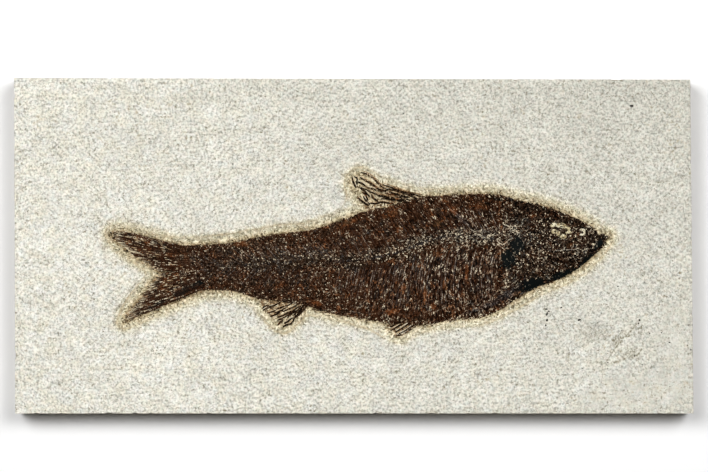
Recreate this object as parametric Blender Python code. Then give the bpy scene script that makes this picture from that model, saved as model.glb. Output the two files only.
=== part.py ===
"""A fossil herring-like fish, prepared in relief on a sawn slab of fine laminated limestone.

Two solids in one rigid body: the slab, with the shallow ring scribed down round the fish and
the bed that the fish lies in, and the fish itself, one pressed sheet of bone and scale with
its fins. Metres, +Z up out of the slab's face, +X towards the fish's head, +Y towards its back.
The origin is at the middle of the underside, on which the slab lies.
"""

import math
import random

import bmesh
import bpy

MM = 0.001

# ---- driving dimensions ----------------------------------------------------------------

SLAB_THICKNESS = 11.0 * MM
# Corners of the sawn slab, counter-clockwise from lower left. The saw cuts aren't quite square.
SLAB_CORNERS = ((-84.7, -42.0), (85.0, -42.0), (84.2, 41.6), (-85.0, 42.0))
RIM_STEP = 5.0 * MM  # spacing of the points along a sawn edge
RIM_WEAR = 0.45 * MM  # how far the upper arris is worn back, at most
CORNER_CHIPS = ((0, 0.7 * MM), (1, 0.4 * MM), (2, 0.5 * MM), (3, 1.3 * MM))  # corner, chip

SCRIBED_DEPTH = 0.7 * MM  # the ring round the fish, below the slab's face
SCRIBED_SLOPE = 0.7 * MM  # width of its sloping outer wall
BODY_BED_DEPTH = 0.9 * MM  # bed of the body and tail, below the scribed ring
FIN_BED_DEPTH = 0.65 * MM  # bed of the thinner fins
BED_MARGIN = 0.7 * MM  # the bed is this much wider than the fish's even outline
CLEARANCE = 0.3 * MM  # between the fish and the floor of its bed

FISH_SHIFT = (-0.2 * MM, -0.05 * MM)  # the fish's own drawing against the slab's centre
FISH_RIM = 0.2 * MM  # edge of the body above the scribed ring
BODY_CROWN = 0.9 * MM  # how far the middle of the body swells above its edge
FIN_FLOOR = 0.1 * MM  # skin between the fin rays, above the scribed ring
RAY_HEIGHT = 0.34 * MM  # a fin ray above the skin beside it

VERTEBRA_PITCH = 2.05 * MM
COLUMN_RIDGE = 0.42 * MM
RIB_RIDGE = 0.4 * MM
SCALE_LUMP = 0.09 * MM  # crushed scales between the ribs, up or down
SCUTE_TOOTH = 0.28 * MM  # how far the keel and back scutes stand out of the outline

SKULL_BACK = 38.0 * MM  # stations along X, in the fish's drawing
SNOUT_TIP = 63.75 * MM
TAIL_ROOT = -37.0 * MM
TAIL_END_OF_BODY = -43.5 * MM  # the body thins out here, under the fans of the tail
HEAD_COLUMNS = 32

# ---- the fish's drawing, in millimetres, head towards +X --------------------------------

BACK_LINE = (
    (-44.0, 0.1), (-37.0, 0.2), (-30.75, 0.75), (-25.75, 1.75), (-20.75, 2.6),
    (-15.75, 3.25), (-10.75, 3.9), (-7.0, 5.0), (-3.25, 6.25), (-0.75, 7.1),
    (1.75, 8.3), (4.25, 8.8), (8.0, 9.6), (11.75, 10.75), (16.75, 12.1),
    (21.75, 12.5), (26.75, 12.75), (31.75, 12.9), (36.75, 12.6), (41.75, 11.3),
    (46.75, 10.2), (51.75, 8.6), (56.75, 6.4), (59.25, 4.9), (60.5, 3.6),
    (61.5, 2.5), (62.6, 2.75), (SNOUT_TIP / MM, 2.5),
)
BELLY_LINE = (
    (-44.0, -11.2), (-37.0, -11.0), (-33.25, -11.0), (-29.5, -11.25), (-24.5, -12.9),
    (-18.25, -13.9), (-10.75, -15.25), (-4.5, -16.9), (-0.75, -17.4), (6.75, -18.75),
    (11.75, -19.3), (16.75, -19.6), (20.5, -19.0), (26.75, -18.0), (31.75, -17.6),
    (36.75, -15.7), (41.75, -12.7), (46.0, -10.3), (51.0, -8.5), (55.5, -6.1),
    (59.75, -2.75), (61.75, -0.6), (63.0, 1.1), (SNOUT_TIP / MM, 2.0),
)
COLUMN_LINE = (
    (-44.0, -5.5), (-28.0, -4.75), (-13.0, -4.1), (-1.0, -3.7), (7.0, -2.6),
    (12.0, -1.3), (19.0, 1.3), (24.0, 2.3), (29.0, 2.6), (38.0, 1.7), (64.0, 2.2),
)

# Each fin is drawn by the line its rays spring from and the line of their tips.
UPPER_TAIL_ROOTS = ((-42.8, 0.1), (-41.6, -1.6), (-41.0, -3.4), (-40.6, -5.9))
UPPER_TAIL_TIPS = (
    (-55.1, 3.1), (-57.4, 3.75), (-59.4, 3.55), (-60.5, 3.0), (-59.6, 1.4), (-57.1, -0.75),
    (-55.1, -2.4), (-53.2, -3.5), (-50.9, -4.9), (-49.1, -6.4),
)
LOWER_TAIL_ROOTS = ((-39.0, -5.2), (-39.6, -8.2), (-38.0, -11.0))
LOWER_TAIL_TIPS = (
    (-48.5, -6.9), (-49.3, -8.3), (-50.9, -10.1), (-52.7, -12.3), (-54.7, -14.7),
    (-56.3, -16.9), (-57.2, -19.0),
)
DORSAL_ROOTS = ((17.0, 11.2), (12.0, 9.9), (7.5, 8.6), (3.9, 7.9))
DORSAL_TIPS = (
    (16.1, 12.6), (14.4, 13.5), (12.6, 13.9), (11.1, 14.25), (9.1, 15.0), (7.9, 15.6),
    (6.6, 15.0), (5.1, 16.4), (3.6, 17.5), (1.9, 18.5), (-0.3, 17.5), (-0.75, 15.6),
    (-0.1, 13.5), (1.6, 11.1),
)
ANAL_ROOTS = ((-10.3, -13.9), (-14.5, -13.0), (-18.5, -12.4), (-23.0, -12.1))
ANAL_TIPS = (
    (-12.5, -17.1), (-14.8, -19.0), (-17.2, -20.5), (-19.2, -19.3), (-21.0, -17.6),
    (-22.6, -15.6), (-23.4, -14.2),
)
PELVIC_ROOTS = ((17.0, -18.6), (14.0, -18.3), (10.5, -18.0))
PELVIC_TIPS = ((14.4, -21.1), (12.8, -22.2), (11.0, -22.7), (9.6, -21.6), (8.0, -20.4))

# The ring that the preparator's scriber left, round the whole fish.
SCRIBED_RING = (
    (-62.3, 3.5), (-60.2, 5.6), (-57.0, 5.5), (-52.0, 4.2), (-47.0, 2.8), (-42.0, 2.4),
    (-36.0, 2.8), (-30.0, 3.6), (-24.0, 4.6), (-18.0, 5.6), (-12.0, 6.2), (-6.5, 8.0),
    (-2.4, 10.6), (-2.2, 14.5), (-2.1, 17.2), (0.4, 19.8), (3.4, 19.9), (6.6, 18.0),
    (11.0, 16.3), (16.0, 14.8), (22.0, 14.5), (29.0, 14.8), (36.0, 14.6), (42.0, 13.1),
    (49.0, 11.3), (55.0, 9.1), (60.0, 6.4), (63.8, 4.2), (65.4, 2.0), (64.3, -0.6),
    (61.5, -4.2), (57.5, -7.6), (52.0, -10.6), (46.0, -13.2), (41.5, -15.8), (36.5, -18.4),
    (31.0, -20.3), (24.5, -20.5), (19.0, -21.4), (15.0, -23.2), (11.2, -24.5), (7.5, -23.2),
    (3.0, -20.8), (-4.5, -18.9), (-10.5, -17.6), (-13.2, -19.4), (-17.2, -22.4),
    (-21.0, -20.2), (-24.4, -16.4), (-28.0, -13.6), (-33.0, -12.9), (-40.0, -13.9),
    (-46.5, -16.6), (-52.0, -19.3), (-57.3, -21.1), (-59.2, -19.4), (-58.2, -15.6),
    (-55.6, -11.4), (-52.6, -8.0), (-52.4, -6.3), (-55.9, -3.9), (-60.2, -1.0),
)

STONE_COLOUR = (0.69, 0.68, 0.59, 1.0)
BONE_COLOUR = (0.061, 0.038, 0.024, 1.0)

FACE = SLAB_THICKNESS
RING_FLOOR = FACE - SCRIBED_DEPTH


# ---- lines -----------------------------------------------------------------------------


def height_on(line, x):
    """The Y of a smooth line through the points (millimetres) at station x (metres)."""
    x = min(max(x / MM, line[0][0]), line[-1][0])
    i = max(k for k in range(len(line) - 1) if line[k][0] <= x)
    slopes = []
    for k in (i, i + 1):
        before, after = line[max(k - 1, 0)], line[min(k + 1, len(line) - 1)]
        slopes.append((after[1] - before[1]) / (after[0] - before[0]))
    (x0, y0), (x1, y1) = line[i], line[i + 1]
    run = x1 - x0
    t = (x - x0) / run
    start = (1 + 2 * t) * (1 - t) ** 2 * y0 + t * (1 - t) ** 2 * run * slopes[0]
    end = t * t * (3 - 2 * t) * y1 - t * t * (1 - t) * run * slopes[1]
    return (start + end) * MM


def catmull(a, b, c, d, t):
    return 0.5 * (
        2 * b + (c - a) * t + (2 * a - 5 * b + 4 * c - d) * t * t + (3 * b - a - 3 * c + d) * t ** 3
    )


def along(line, share):
    """The point (metres) at a share of the way along a smooth open line of points."""
    last = len(line) - 1
    i = min(int(share * last), last - 1)
    near = [line[min(max(k, 0), last)] for k in range(i - 1, i + 3)]
    t = share * last - i
    return tuple(catmull(*(p[axis] for p in near), t) * MM for axis in (0, 1))


def smooth_loop(corners, pieces):
    """A closed smooth outline through the corners (millimetres), as points in metres."""
    count = len(corners)
    loop = []
    for i in range(count):
        near = [corners[(i + k) % count] for k in (-1, 0, 1, 2)]
        for step in range(pieces):
            t = step / pieces
            loop.append(tuple(catmull(*(p[axis] for p in near), t) * MM for axis in (0, 1)))
    return loop


def area_of(loop):
    return sum(
        loop[i - 1][0] * loop[i][1] - loop[i][0] * loop[i - 1][1] for i in range(len(loop))
    ) / 2


def grown(loop, by):
    """The outline moved outwards by a distance, with its sharp corners cut short."""
    outwards = math.copysign(math.pi / 2, area_of(loop))
    moved = []
    for i, (x, y) in enumerate(loop):
        before, after = loop[i - 1], loop[(i + 1) % len(loop)]
        first = math.atan2(y - before[1], x - before[0])
        second = math.atan2(after[1] - y, after[0] - x)
        turn = (second - first + math.pi) % (2 * math.pi) - math.pi
        reach = by / max(math.cos(turn / 2), 0.6)
        out = first + turn / 2 - outwards
        moved.append((x + reach * math.cos(out), y + reach * math.sin(out)))
    return moved


# ---- solids from rings and from sheets --------------------------------------------------


def new_object(name, mesh_builder, material=None):
    mesh = bpy.data.meshes.new(name)
    bm = bmesh.new()
    mesh_builder(bm)
    bmesh.ops.recalc_face_normals(bm, faces=bm.faces)
    bm.to_mesh(mesh)
    bm.free()
    obj = bpy.data.objects.new(name, mesh)
    bpy.context.scene.collection.objects.link(obj)
    if material:
        mesh.materials.append(material)
    return obj


def stack_rings(bm, rings):
    """A closed solid through rings of equally many points (x, y, z), bottom ring first."""
    loops = [[bm.verts.new(point) for point in ring] for ring in rings]
    bm.faces.new(loops[0][::-1])
    bm.faces.new(loops[-1])
    count = len(loops[0])
    for low, high in zip(loops, loops[1:]):
        for i in range(count):
            j = (i + 1) % count
            bm.faces.new((low[i], low[j], high[j], high[i]))


def at_height(loop, z):
    return [(x, y, z) for x, y in loop]


def close_sheet(bm, grid, base):
    """A closed solid under a grid of points (columns of (x, y, z)), flat at height base."""
    top = [[bm.verts.new(point) for point in column] for column in grid]
    for left, right in zip(top, top[1:]):
        for k in range(len(left) - 1):
            bm.faces.new((left[k], right[k], right[k + 1], left[k + 1]))
    edge = [column[0] for column in top] + top[-1][1:]
    edge += [column[-1] for column in top[-2::-1]] + top[0][-2:0:-1]
    foot = [bm.verts.new((v.co.x, v.co.y, base)) for v in edge]
    for i in range(len(edge)):
        bm.faces.new((edge[i - 1], edge[i], foot[i], foot[i - 1]))
    bm.faces.new(foot)


def helper(obj):
    """Marks a cutter or a joined piece: it shapes its neighbour and isn't a node itself."""
    obj.hide_render = True
    obj.display_type = "WIRE"
    return obj


def combine(obj, other, operation):
    boolean = obj.modifiers.new(f"{operation.title()} {other.name}", "BOOLEAN")
    boolean.operation = operation
    boolean.solver = "EXACT"
    boolean.object = helper(other)


def stone_or_bone(name, colour, roughness):
    material = bpy.data.materials.new(name)
    material.use_nodes = True
    shader = material.node_tree.nodes["Principled BSDF"]
    shader.inputs["Base Color"].default_value = colour
    shader.inputs["Roughness"].default_value = roughness
    shader.inputs["Metallic"].default_value = 0.0
    material.diffuse_color = colour
    return material


# ---- the slab --------------------------------------------------------------------------


def sawn_outline():
    """Points along the four sawn edges, with the corners knocked off."""
    outline = []
    chip = dict(CORNER_CHIPS)
    for i, (x0, y0) in enumerate(SLAB_CORNERS):
        x1, y1 = SLAB_CORNERS[(i + 1) % len(SLAB_CORNERS)]
        length = math.hypot(x1 - x0, y1 - y0) * MM
        first, last = chip[i], length - chip[(i + 1) % len(SLAB_CORNERS)]
        steps = round((last - first) / RIM_STEP)
        for step in range(steps + 1):
            share = (first + (last - first) * step / steps) / length
            outline.append(((x0 + (x1 - x0) * share) * MM, (y0 + (y1 - y0) * share) * MM))
    return outline


def worn(outline, least, most, seed):
    """The outline drawn in by a different small amount at each point, as a rubbed arris is."""
    dice = random.Random(seed)
    drawn_in = []
    for (x, y), (inner_x, inner_y) in zip(outline, grown(outline, -most)):
        share = dice.uniform(least / most, 1.0)
        drawn_in.append((x + (inner_x - x) * share, y + (inner_y - y) * share))
    return drawn_in


def under_the_fish(loop):
    """An outline of the fish's drawing, moved to where the fish lies in the slab."""
    return [(x + FISH_SHIFT[0], y + FISH_SHIFT[1]) for x, y in loop]


def make_slab(material):
    outline = sawn_outline()

    def block(bm):
        stack_rings(bm, (
            at_height(grown(outline, -0.3 * MM), 0.0),
            at_height(outline, 0.4 * MM),
            at_height(outline, FACE - 0.9 * MM),
            at_height(worn(outline, 0.02 * MM, 0.4 * RIM_WEAR, seed=3), FACE - 0.35 * MM),
            at_height(worn(outline, 0.5 * RIM_WEAR, RIM_WEAR, seed=5), FACE),
        ))

    def ring_cut(bm):
        ring = under_the_fish(smooth_loop(SCRIBED_RING, 3))
        stack_rings(bm, (
            at_height(grown(ring, -SCRIBED_SLOPE), RING_FLOOR),
            at_height(ring, FACE),
            at_height(ring, FACE + 1.0 * MM),
        ))

    slab = new_object("slab", block, material)
    combine(slab, new_object("scribed_ring_cut", ring_cut), "DIFFERENCE")
    for name, outline_of, depth in BEDS:
        loop = under_the_fish(grown(outline_of(), BED_MARGIN))

        def bed_cut(bm, loop=loop, depth=depth):
            floor = at_height(loop, RING_FLOOR - depth)
            stack_rings(bm, (floor, at_height(loop, FACE + 0.5 * MM)))

        combine(slab, new_object(name + "_bed_cut", bed_cut), "DIFFERENCE")
    return slab


# ---- outlines of the beds ---------------------------------------------------------------


def body_and_tail_outline():
    steps = 54
    span = SNOUT_TIP - TAIL_ROOT
    stations = [TAIL_ROOT + span * (i / steps) ** 0.85 for i in range(steps + 1)]
    belly = [(x, height_on(BELLY_LINE, x)) for x in stations]
    back = [(x, height_on(BACK_LINE, x)) for x in reversed(stations)]
    root = [along(UPPER_TAIL_ROOTS, 0)]
    upper = [along(UPPER_TAIL_TIPS, i / 12) for i in range(13)]
    lower = [along(LOWER_TAIL_TIPS, i / 8) for i in range(1, 9)]
    return belly + back + root + upper + lower


def fan_outline(roots, tips):
    ends = [along(tips, i / 12) for i in range(13)]
    return [along(roots, i / 4) for i in range(4, -1, -1)] + ends


BEDS = (
    ("body", body_and_tail_outline, BODY_BED_DEPTH),
    ("dorsal_fin", lambda: fan_outline(DORSAL_ROOTS, DORSAL_TIPS), FIN_BED_DEPTH),
    ("anal_fin", lambda: fan_outline(ANAL_ROOTS, ANAL_TIPS), FIN_BED_DEPTH),
    ("pelvic_fin", lambda: fan_outline(PELVIC_ROOTS, PELVIC_TIPS), FIN_BED_DEPTH),
)


# ---- the fish's body --------------------------------------------------------------------


def bump(distance, width):
    """A smooth hump, 1 at distance 0 and nothing past width."""
    share = min(abs(distance) / width, 1.0)
    return (1 - share * share) ** 2


def step_up(value, low, high):
    share = min(max((value - low) / (high - low), 0.0), 1.0)
    return share * share * (3 - 2 * share)


def chevron(x, above):
    """How far towards the tail a rib or spine has swept at a share of its way to the outline."""
    trunk = step_up(x, -44 * MM, -20 * MM) * (1 - step_up(x, 34 * MM, 41 * MM))
    if above >= 0:
        return -3.0 * MM * above * trunk
    return -(2.6 * abs(above) ** 0.8 + 1.2 * above * above) * MM * trunk


def column_shares(x):
    """The rows across the body at station x, as shares from belly (0) to back (1)."""
    belly, back = height_on(BELLY_LINE, x), height_on(BACK_LINE, x)
    middle = (height_on(COLUMN_LINE, x) - belly) / (back - belly)
    half = min(0.9 * MM / (back - belly), 0.12)
    low = [(middle - half) * share for share in (0.0, 0.05, 0.14, 0.28, 0.45, 0.62, 0.8)]
    high = [1 - (1 - middle - half) * share for share in (0.8, 0.6, 0.38, 0.18, 0.06, 0.0)]
    return low + [middle - half, middle, middle + half] + high


def skull_relief(x, y):
    """Heights (metres) that the skull adds: gill cover, cheek, eye ring, jaw and snout."""
    eye = math.hypot(x - 52.2 * MM, y - 3.6 * MM)
    gill_edge = 39.0 * MM + 5.2 * MM * ((y + 3.0 * MM) / (11 * MM)) ** 2
    cover = step_up(x, gill_edge - 0.9 * MM, gill_edge + 0.3 * MM)
    cheek_edge = 47.2 * MM + 2.0 * MM * ((y + 2.0 * MM) / (8 * MM)) ** 2
    below_cover = step_up(y, -0.52 * (63 * MM - x) - 1.4 * MM, -0.52 * (63 * MM - x) - 0.4 * MM)
    mouth = y - (2.2 * MM - 0.62 * (61.5 * MM - x))
    relief = 0.42 * MM * cover * (0.35 + 0.65 * below_cover)
    relief += 0.26 * MM * bump(x - cheek_edge, 1.2 * MM) * cover
    relief -= 0.65 * MM * (1 - step_up(eye, 1.6 * MM, 2.6 * MM))
    relief += 0.3 * MM * bump(eye - 3.2 * MM, 1.0 * MM)
    relief -= 0.4 * MM * bump(mouth, 0.9 * MM) * step_up(x, 53 * MM, 55 * MM)
    relief += 0.25 * MM * bump(math.hypot(x - 57.4 * MM, y - 3.2 * MM) - 0.9 * MM, 0.8 * MM)
    return relief


def body_grid():
    """Columns of points over the body. The columns run along the ribs, ridge and groove by turns."""
    dice = random.Random(11)
    half_pitch = VERTEBRA_PITCH / 2
    trunk_columns = round((SKULL_BACK - TAIL_END_OF_BODY) / half_pitch)
    stations = [SKULL_BACK - half_pitch * k for k in range(trunk_columns, 0, -1)]
    head_run = SNOUT_TIP - 0.1 * MM - SKULL_BACK
    stations += [SKULL_BACK + head_run * k / HEAD_COLUMNS for k in range(HEAD_COLUMNS + 1)]
    grid = []
    for k, station in enumerate(stations):
        ridge = 1.0 if k % 2 else -1.0
        rows = column_shares(station)
        middle = rows[8]
        column = []
        for share in rows:
            above = (share - middle) / (1 - middle if share > middle else middle)
            x = station + chevron(station, above)
            belly, back = height_on(BELLY_LINE, x), height_on(BACK_LINE, x)
            y = belly + (back - belly) * share
            trunk = 1 - step_up(station, SKULL_BACK - 2 * MM, SKULL_BACK + 1 * MM)
            if share in (0.0, 1.0):
                scutes = step_up(x, -12 * MM, -8 * MM) if share == 0.0 else step_up(x, 17 * MM, 20 * MM)
                y += SCUTE_TOOTH * ridge * scutes * trunk * (1 if share else -1)
            width = min((back - belly) / (16 * MM), 1.0)
            thinning = step_up(x, TAIL_END_OF_BODY, TAIL_END_OF_BODY + 14 * MM)
            crown = (1 - abs(2 * share - 1) ** 2.6) ** 0.75
            z = RING_FLOOR + FISH_RIM + BODY_CROWN * crown * (0.35 + 0.65 * width) * thinning
            inland = min(5 * share, 5 * (1 - share), 1.0)
            on_column = bump(y - height_on(COLUMN_LINE, x), 1.6 * MM)
            z += trunk * thinning * COLUMN_RIDGE * on_column * (0.65 + 0.35 * ridge)
            longest = 1.0 if share < middle and station > -6 * MM else 0.5
            z += trunk * thinning * RIB_RIDGE * ridge * 0.5 * inland * (1 - on_column) * longest
            z += skull_relief(x, y) * inland * (1 - trunk)
            z += dice.uniform(-SCALE_LUMP, SCALE_LUMP) * inland * trunk * thinning
            column.append((x + FISH_SHIFT[0], y + FISH_SHIFT[1], z))
        grid.append(column)
    return grid


# ---- the fins ---------------------------------------------------------------------------


def fan_grid(roots, tips, rays, rows, lift):
    """Columns of points over a fin: each ray a ridge, the skin between two rays a groove."""
    grid = []
    for k in range(2 * rays + 1):
        share = k / (2 * rays)
        on_ray = k % 2 == 0
        root, tip = along(roots, share), along(tips, share)
        reach = 1.0 if on_ray else 0.94
        column = []
        for row in range(rows + 1):
            out = reach * row / rows
            x = root[0] + (tip[0] - root[0]) * out + FISH_SHIFT[0]
            y = root[1] + (tip[1] - root[1]) * out + FISH_SHIFT[1]
            height = FIN_FLOOR + lift * (1 - out) ** 1.5
            height += RAY_HEIGHT * (1 - 0.45 * out) * min(0.3 + 4 * out, 1.0) if on_ray else 0.0
            column.append((x, y, RING_FLOOR + height))
        grid.append(column)
    return grid


FANS = (
    # name, roots, tips, rays, rows along a ray, lift at the root
    ("upper_tail_lobe", UPPER_TAIL_ROOTS, UPPER_TAIL_TIPS, 15, 5, 0.4 * MM),
    ("lower_tail_lobe", LOWER_TAIL_ROOTS, LOWER_TAIL_TIPS, 15, 5, 0.4 * MM),
    ("dorsal_fin", DORSAL_ROOTS, DORSAL_TIPS, 14, 5, 0.35 * MM),
    ("anal_fin", ANAL_ROOTS, ANAL_TIPS, 14, 4, 0.35 * MM),
    ("pelvic_fin", PELVIC_ROOTS, PELVIC_TIPS, 7, 3, 0.3 * MM),
)


def make_fish(material):
    body_base = RING_FLOOR - BODY_BED_DEPTH + CLEARANCE
    fin_base = RING_FLOOR - FIN_BED_DEPTH + CLEARANCE
    fish = new_object("fish", lambda bm: close_sheet(bm, body_grid(), body_base), material)
    for name, roots, tips, rays, rows, lift in FANS:
        base = body_base + 0.05 * MM if "tail" in name else fin_base

        def fan(bm, roots=roots, tips=tips, rays=rays, rows=rows, lift=lift, base=base):
            close_sheet(bm, fan_grid(roots, tips, rays, rows, lift), base)

        combine(fish, new_object(name, fan), "UNION")
    return fish


def clear_scene():
    for obj in list(bpy.data.objects):
        bpy.data.objects.remove(obj)


def main():
    clear_scene()
    make_slab(stone_or_bone("limestone", STONE_COLOUR, 0.9))
    make_fish(stone_or_bone("fossil bone", BONE_COLOUR, 0.45))


main()
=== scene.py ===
"""The looks of a fossil herring in its sawn limestone slab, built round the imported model.

The stone, the tan ring scribed down round the fish, and the fish itself with its crushed
scales, ribs, backbone, skull plates, scutes and fin rays are each modelled as pieces of
their own. The frame is in metres; lengths below are in millimetres, times MM.
"""

import contextlib
import math
import random

import bmesh
import bpy
import numpy as np
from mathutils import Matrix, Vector, noise


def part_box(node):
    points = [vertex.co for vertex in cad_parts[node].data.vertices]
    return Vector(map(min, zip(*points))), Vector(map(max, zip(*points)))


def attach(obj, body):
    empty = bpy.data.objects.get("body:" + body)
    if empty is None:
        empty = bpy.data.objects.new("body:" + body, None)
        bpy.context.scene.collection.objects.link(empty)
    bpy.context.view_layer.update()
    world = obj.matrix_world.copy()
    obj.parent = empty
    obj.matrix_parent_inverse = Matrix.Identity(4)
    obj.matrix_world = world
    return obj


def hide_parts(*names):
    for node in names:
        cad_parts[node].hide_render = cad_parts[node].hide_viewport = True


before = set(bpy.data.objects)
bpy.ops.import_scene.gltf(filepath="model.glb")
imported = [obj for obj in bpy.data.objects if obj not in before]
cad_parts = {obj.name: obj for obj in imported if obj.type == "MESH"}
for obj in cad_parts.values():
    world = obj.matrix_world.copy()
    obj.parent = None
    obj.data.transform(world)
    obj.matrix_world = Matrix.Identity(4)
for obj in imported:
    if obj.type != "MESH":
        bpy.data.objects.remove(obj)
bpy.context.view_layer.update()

MM = 0.001

# ---- sizes that come from the frame, in millimetres -------------------------------------

SLAB_LOW, SLAB_HIGH = (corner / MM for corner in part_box("slab"))
FISH_TOP = (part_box("fish")[1] / MM).z
FACE = SLAB_HIGH.z
SLAB_CORNERS = np.array(((-84.7, -42.0), (85.0, -42.0), (84.2, 41.6), (-85.0, 42.0)))
FISH_SHIFT = np.array((-0.2, -0.05, 0.0))  # the fish's own drawing against the slab's centre

# ---- the stone --------------------------------------------------------------------------

FACE_COLUMNS, FACE_ROWS = 220, 110
SIDE_CUTS = 17
SMOOTH_UNDER = 60  # degrees: softer folds than this are shaded round
RING_DEPTH = 0.45  # the scribed ring below the slab's face
RING_SLOPE = 1.6  # width of the ring's sloping outer wall
RING_FLOOR = FACE - RING_DEPTH
ARRIS_WEAR = 0.45
CORNER_WEAR = (1.0, 0.6, 0.7, 1.6)  # how far each corner is rubbed off
HALF_DIAGONAL = 94.0

# ---- the fish's drawing, head towards +X, as in the part --------------------------------

SKULL_BACK = 38.0
SNOUT_TIP = 63.75
TAIL_END_OF_BODY = -43.5
VERTEBRA_PITCH = 2.05
RIM = RING_FLOOR + 0.12
CROWN = 0.8
PRESS_FROM, PRESS_TO = FISH_TOP - 0.35, FISH_TOP - 0.02  # where tall bones are pressed down

BACK_LINE = (
    (-44.0, 0.1), (-37.0, 0.2), (-30.75, 0.75), (-25.75, 1.75), (-20.75, 2.6),
    (-15.75, 3.25), (-10.75, 3.9), (-7.0, 5.0), (-3.25, 6.25), (-0.75, 7.1),
    (1.75, 8.3), (4.25, 8.8), (8.0, 9.6), (11.75, 10.75), (16.75, 12.1),
    (21.75, 12.5), (26.75, 12.75), (31.75, 12.9), (36.75, 12.6), (41.75, 11.3),
    (46.75, 10.2), (51.75, 8.6), (56.75, 6.4), (59.25, 4.9), (60.5, 3.6),
    (61.5, 2.5), (62.6, 2.75), (SNOUT_TIP, 2.5),
)
BELLY_LINE = (
    (-44.0, -11.2), (-37.0, -11.0), (-33.25, -11.0), (-29.5, -11.25), (-24.5, -12.9),
    (-18.25, -13.9), (-10.75, -15.25), (-4.5, -16.9), (-0.75, -17.4), (6.75, -18.75),
    (11.75, -19.3), (16.75, -19.6), (20.5, -19.0), (26.75, -18.0), (31.75, -17.6),
    (36.75, -15.7), (41.75, -12.7), (46.0, -10.3), (51.0, -8.5), (55.5, -6.1),
    (59.75, -2.75), (61.75, -0.6), (63.0, 1.1), (SNOUT_TIP, 2.0),
)
COLUMN_LINE = (
    (-44.0, -5.5), (-28.0, -4.75), (-13.0, -4.1), (-1.0, -3.7), (7.0, -2.6),
    (12.0, -1.3), (19.0, 1.3), (24.0, 2.3), (29.0, 2.6), (38.0, 1.7), (64.0, 2.2),
)

UPPER_TAIL_ROOTS = ((-42.8, 0.1), (-41.6, -1.6), (-41.0, -3.4), (-40.6, -5.9))
UPPER_TAIL_TIPS = (
    (-55.1, 3.1), (-57.4, 3.75), (-59.4, 3.55), (-60.5, 3.0), (-59.6, 1.4), (-57.1, -0.75),
    (-55.1, -2.4), (-53.2, -3.5), (-50.9, -4.9), (-49.1, -6.4),
)
LOWER_TAIL_ROOTS = ((-39.0, -5.2), (-39.6, -8.2), (-38.0, -11.0))
LOWER_TAIL_TIPS = (
    (-48.5, -6.9), (-49.3, -8.3), (-50.9, -10.1), (-52.7, -12.3), (-54.7, -14.7),
    (-56.3, -16.9), (-57.2, -19.0),
)
# Side, where the rays start and end, the seed of the lobe's wavering, how many rays.
TAIL_LOBES = (
    ("upper", UPPER_TAIL_ROOTS, UPPER_TAIL_TIPS, 60, 24),
    ("lower", LOWER_TAIL_ROOTS, LOWER_TAIL_TIPS, 70, 22),
)
DORSAL_ROOTS = ((17.0, 11.2), (12.0, 9.9), (7.5, 8.6), (3.9, 7.9))
DORSAL_TIPS = (
    (16.1, 12.6), (14.4, 13.5), (12.6, 13.9), (11.1, 14.25), (9.1, 15.0), (7.9, 15.6),
    (6.6, 15.0), (5.1, 16.4), (3.6, 17.5), (1.9, 18.5), (-0.3, 17.5), (-0.75, 15.6),
    (-0.1, 13.5), (1.6, 11.1),
)
ANAL_ROOTS = ((-10.3, -13.9), (-14.5, -13.0), (-18.5, -12.4), (-23.0, -12.1))
ANAL_TIPS = (
    (-12.5, -17.1), (-14.8, -19.0), (-17.2, -20.5), (-19.2, -19.3), (-21.0, -17.6),
    (-22.6, -15.6), (-23.4, -14.2),
)
PELVIC_ROOTS = ((17.0, -18.6), (14.0, -18.3), (10.5, -18.0))
PELVIC_TIPS = ((14.4, -21.1), (12.8, -22.2), (11.0, -22.7), (9.6, -21.6), (8.0, -20.4))

SCRIBED_RING = (
    (-62.3, 3.5), (-60.2, 5.6), (-57.0, 5.5), (-52.0, 4.2), (-47.0, 2.8), (-42.0, 2.4),
    (-36.0, 2.8), (-30.0, 3.6), (-24.0, 4.6), (-18.0, 5.6), (-12.0, 6.2), (-6.5, 8.0),
    (-2.4, 10.6), (-2.2, 14.5), (-2.1, 17.2), (0.4, 19.8), (3.4, 19.9), (6.6, 18.0),
    (11.0, 16.3), (16.0, 14.8), (22.0, 14.5), (29.0, 14.8), (36.0, 14.6), (42.0, 13.1),
    (49.0, 11.3), (55.0, 9.1), (60.0, 6.4), (63.8, 4.2), (65.4, 2.0), (64.3, -0.6),
    (61.5, -4.2), (57.5, -7.6), (52.0, -10.6), (46.0, -13.2), (41.5, -15.8), (36.5, -18.4),
    (31.0, -20.3), (24.5, -20.5), (19.0, -21.4), (15.0, -23.2), (11.2, -24.5), (7.5, -23.2),
    (3.0, -20.8), (-4.5, -18.9), (-10.5, -17.6), (-13.2, -19.4), (-17.2, -22.4),
    (-21.0, -20.2), (-24.4, -16.4), (-28.0, -13.6), (-33.0, -12.9), (-40.0, -13.9),
    (-46.5, -16.6), (-52.0, -19.3), (-57.3, -21.1), (-59.2, -19.4), (-58.2, -15.6),
    (-55.6, -11.4), (-52.6, -8.0), (-52.4, -6.3), (-55.9, -3.9), (-60.2, -1.0),
)

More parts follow.
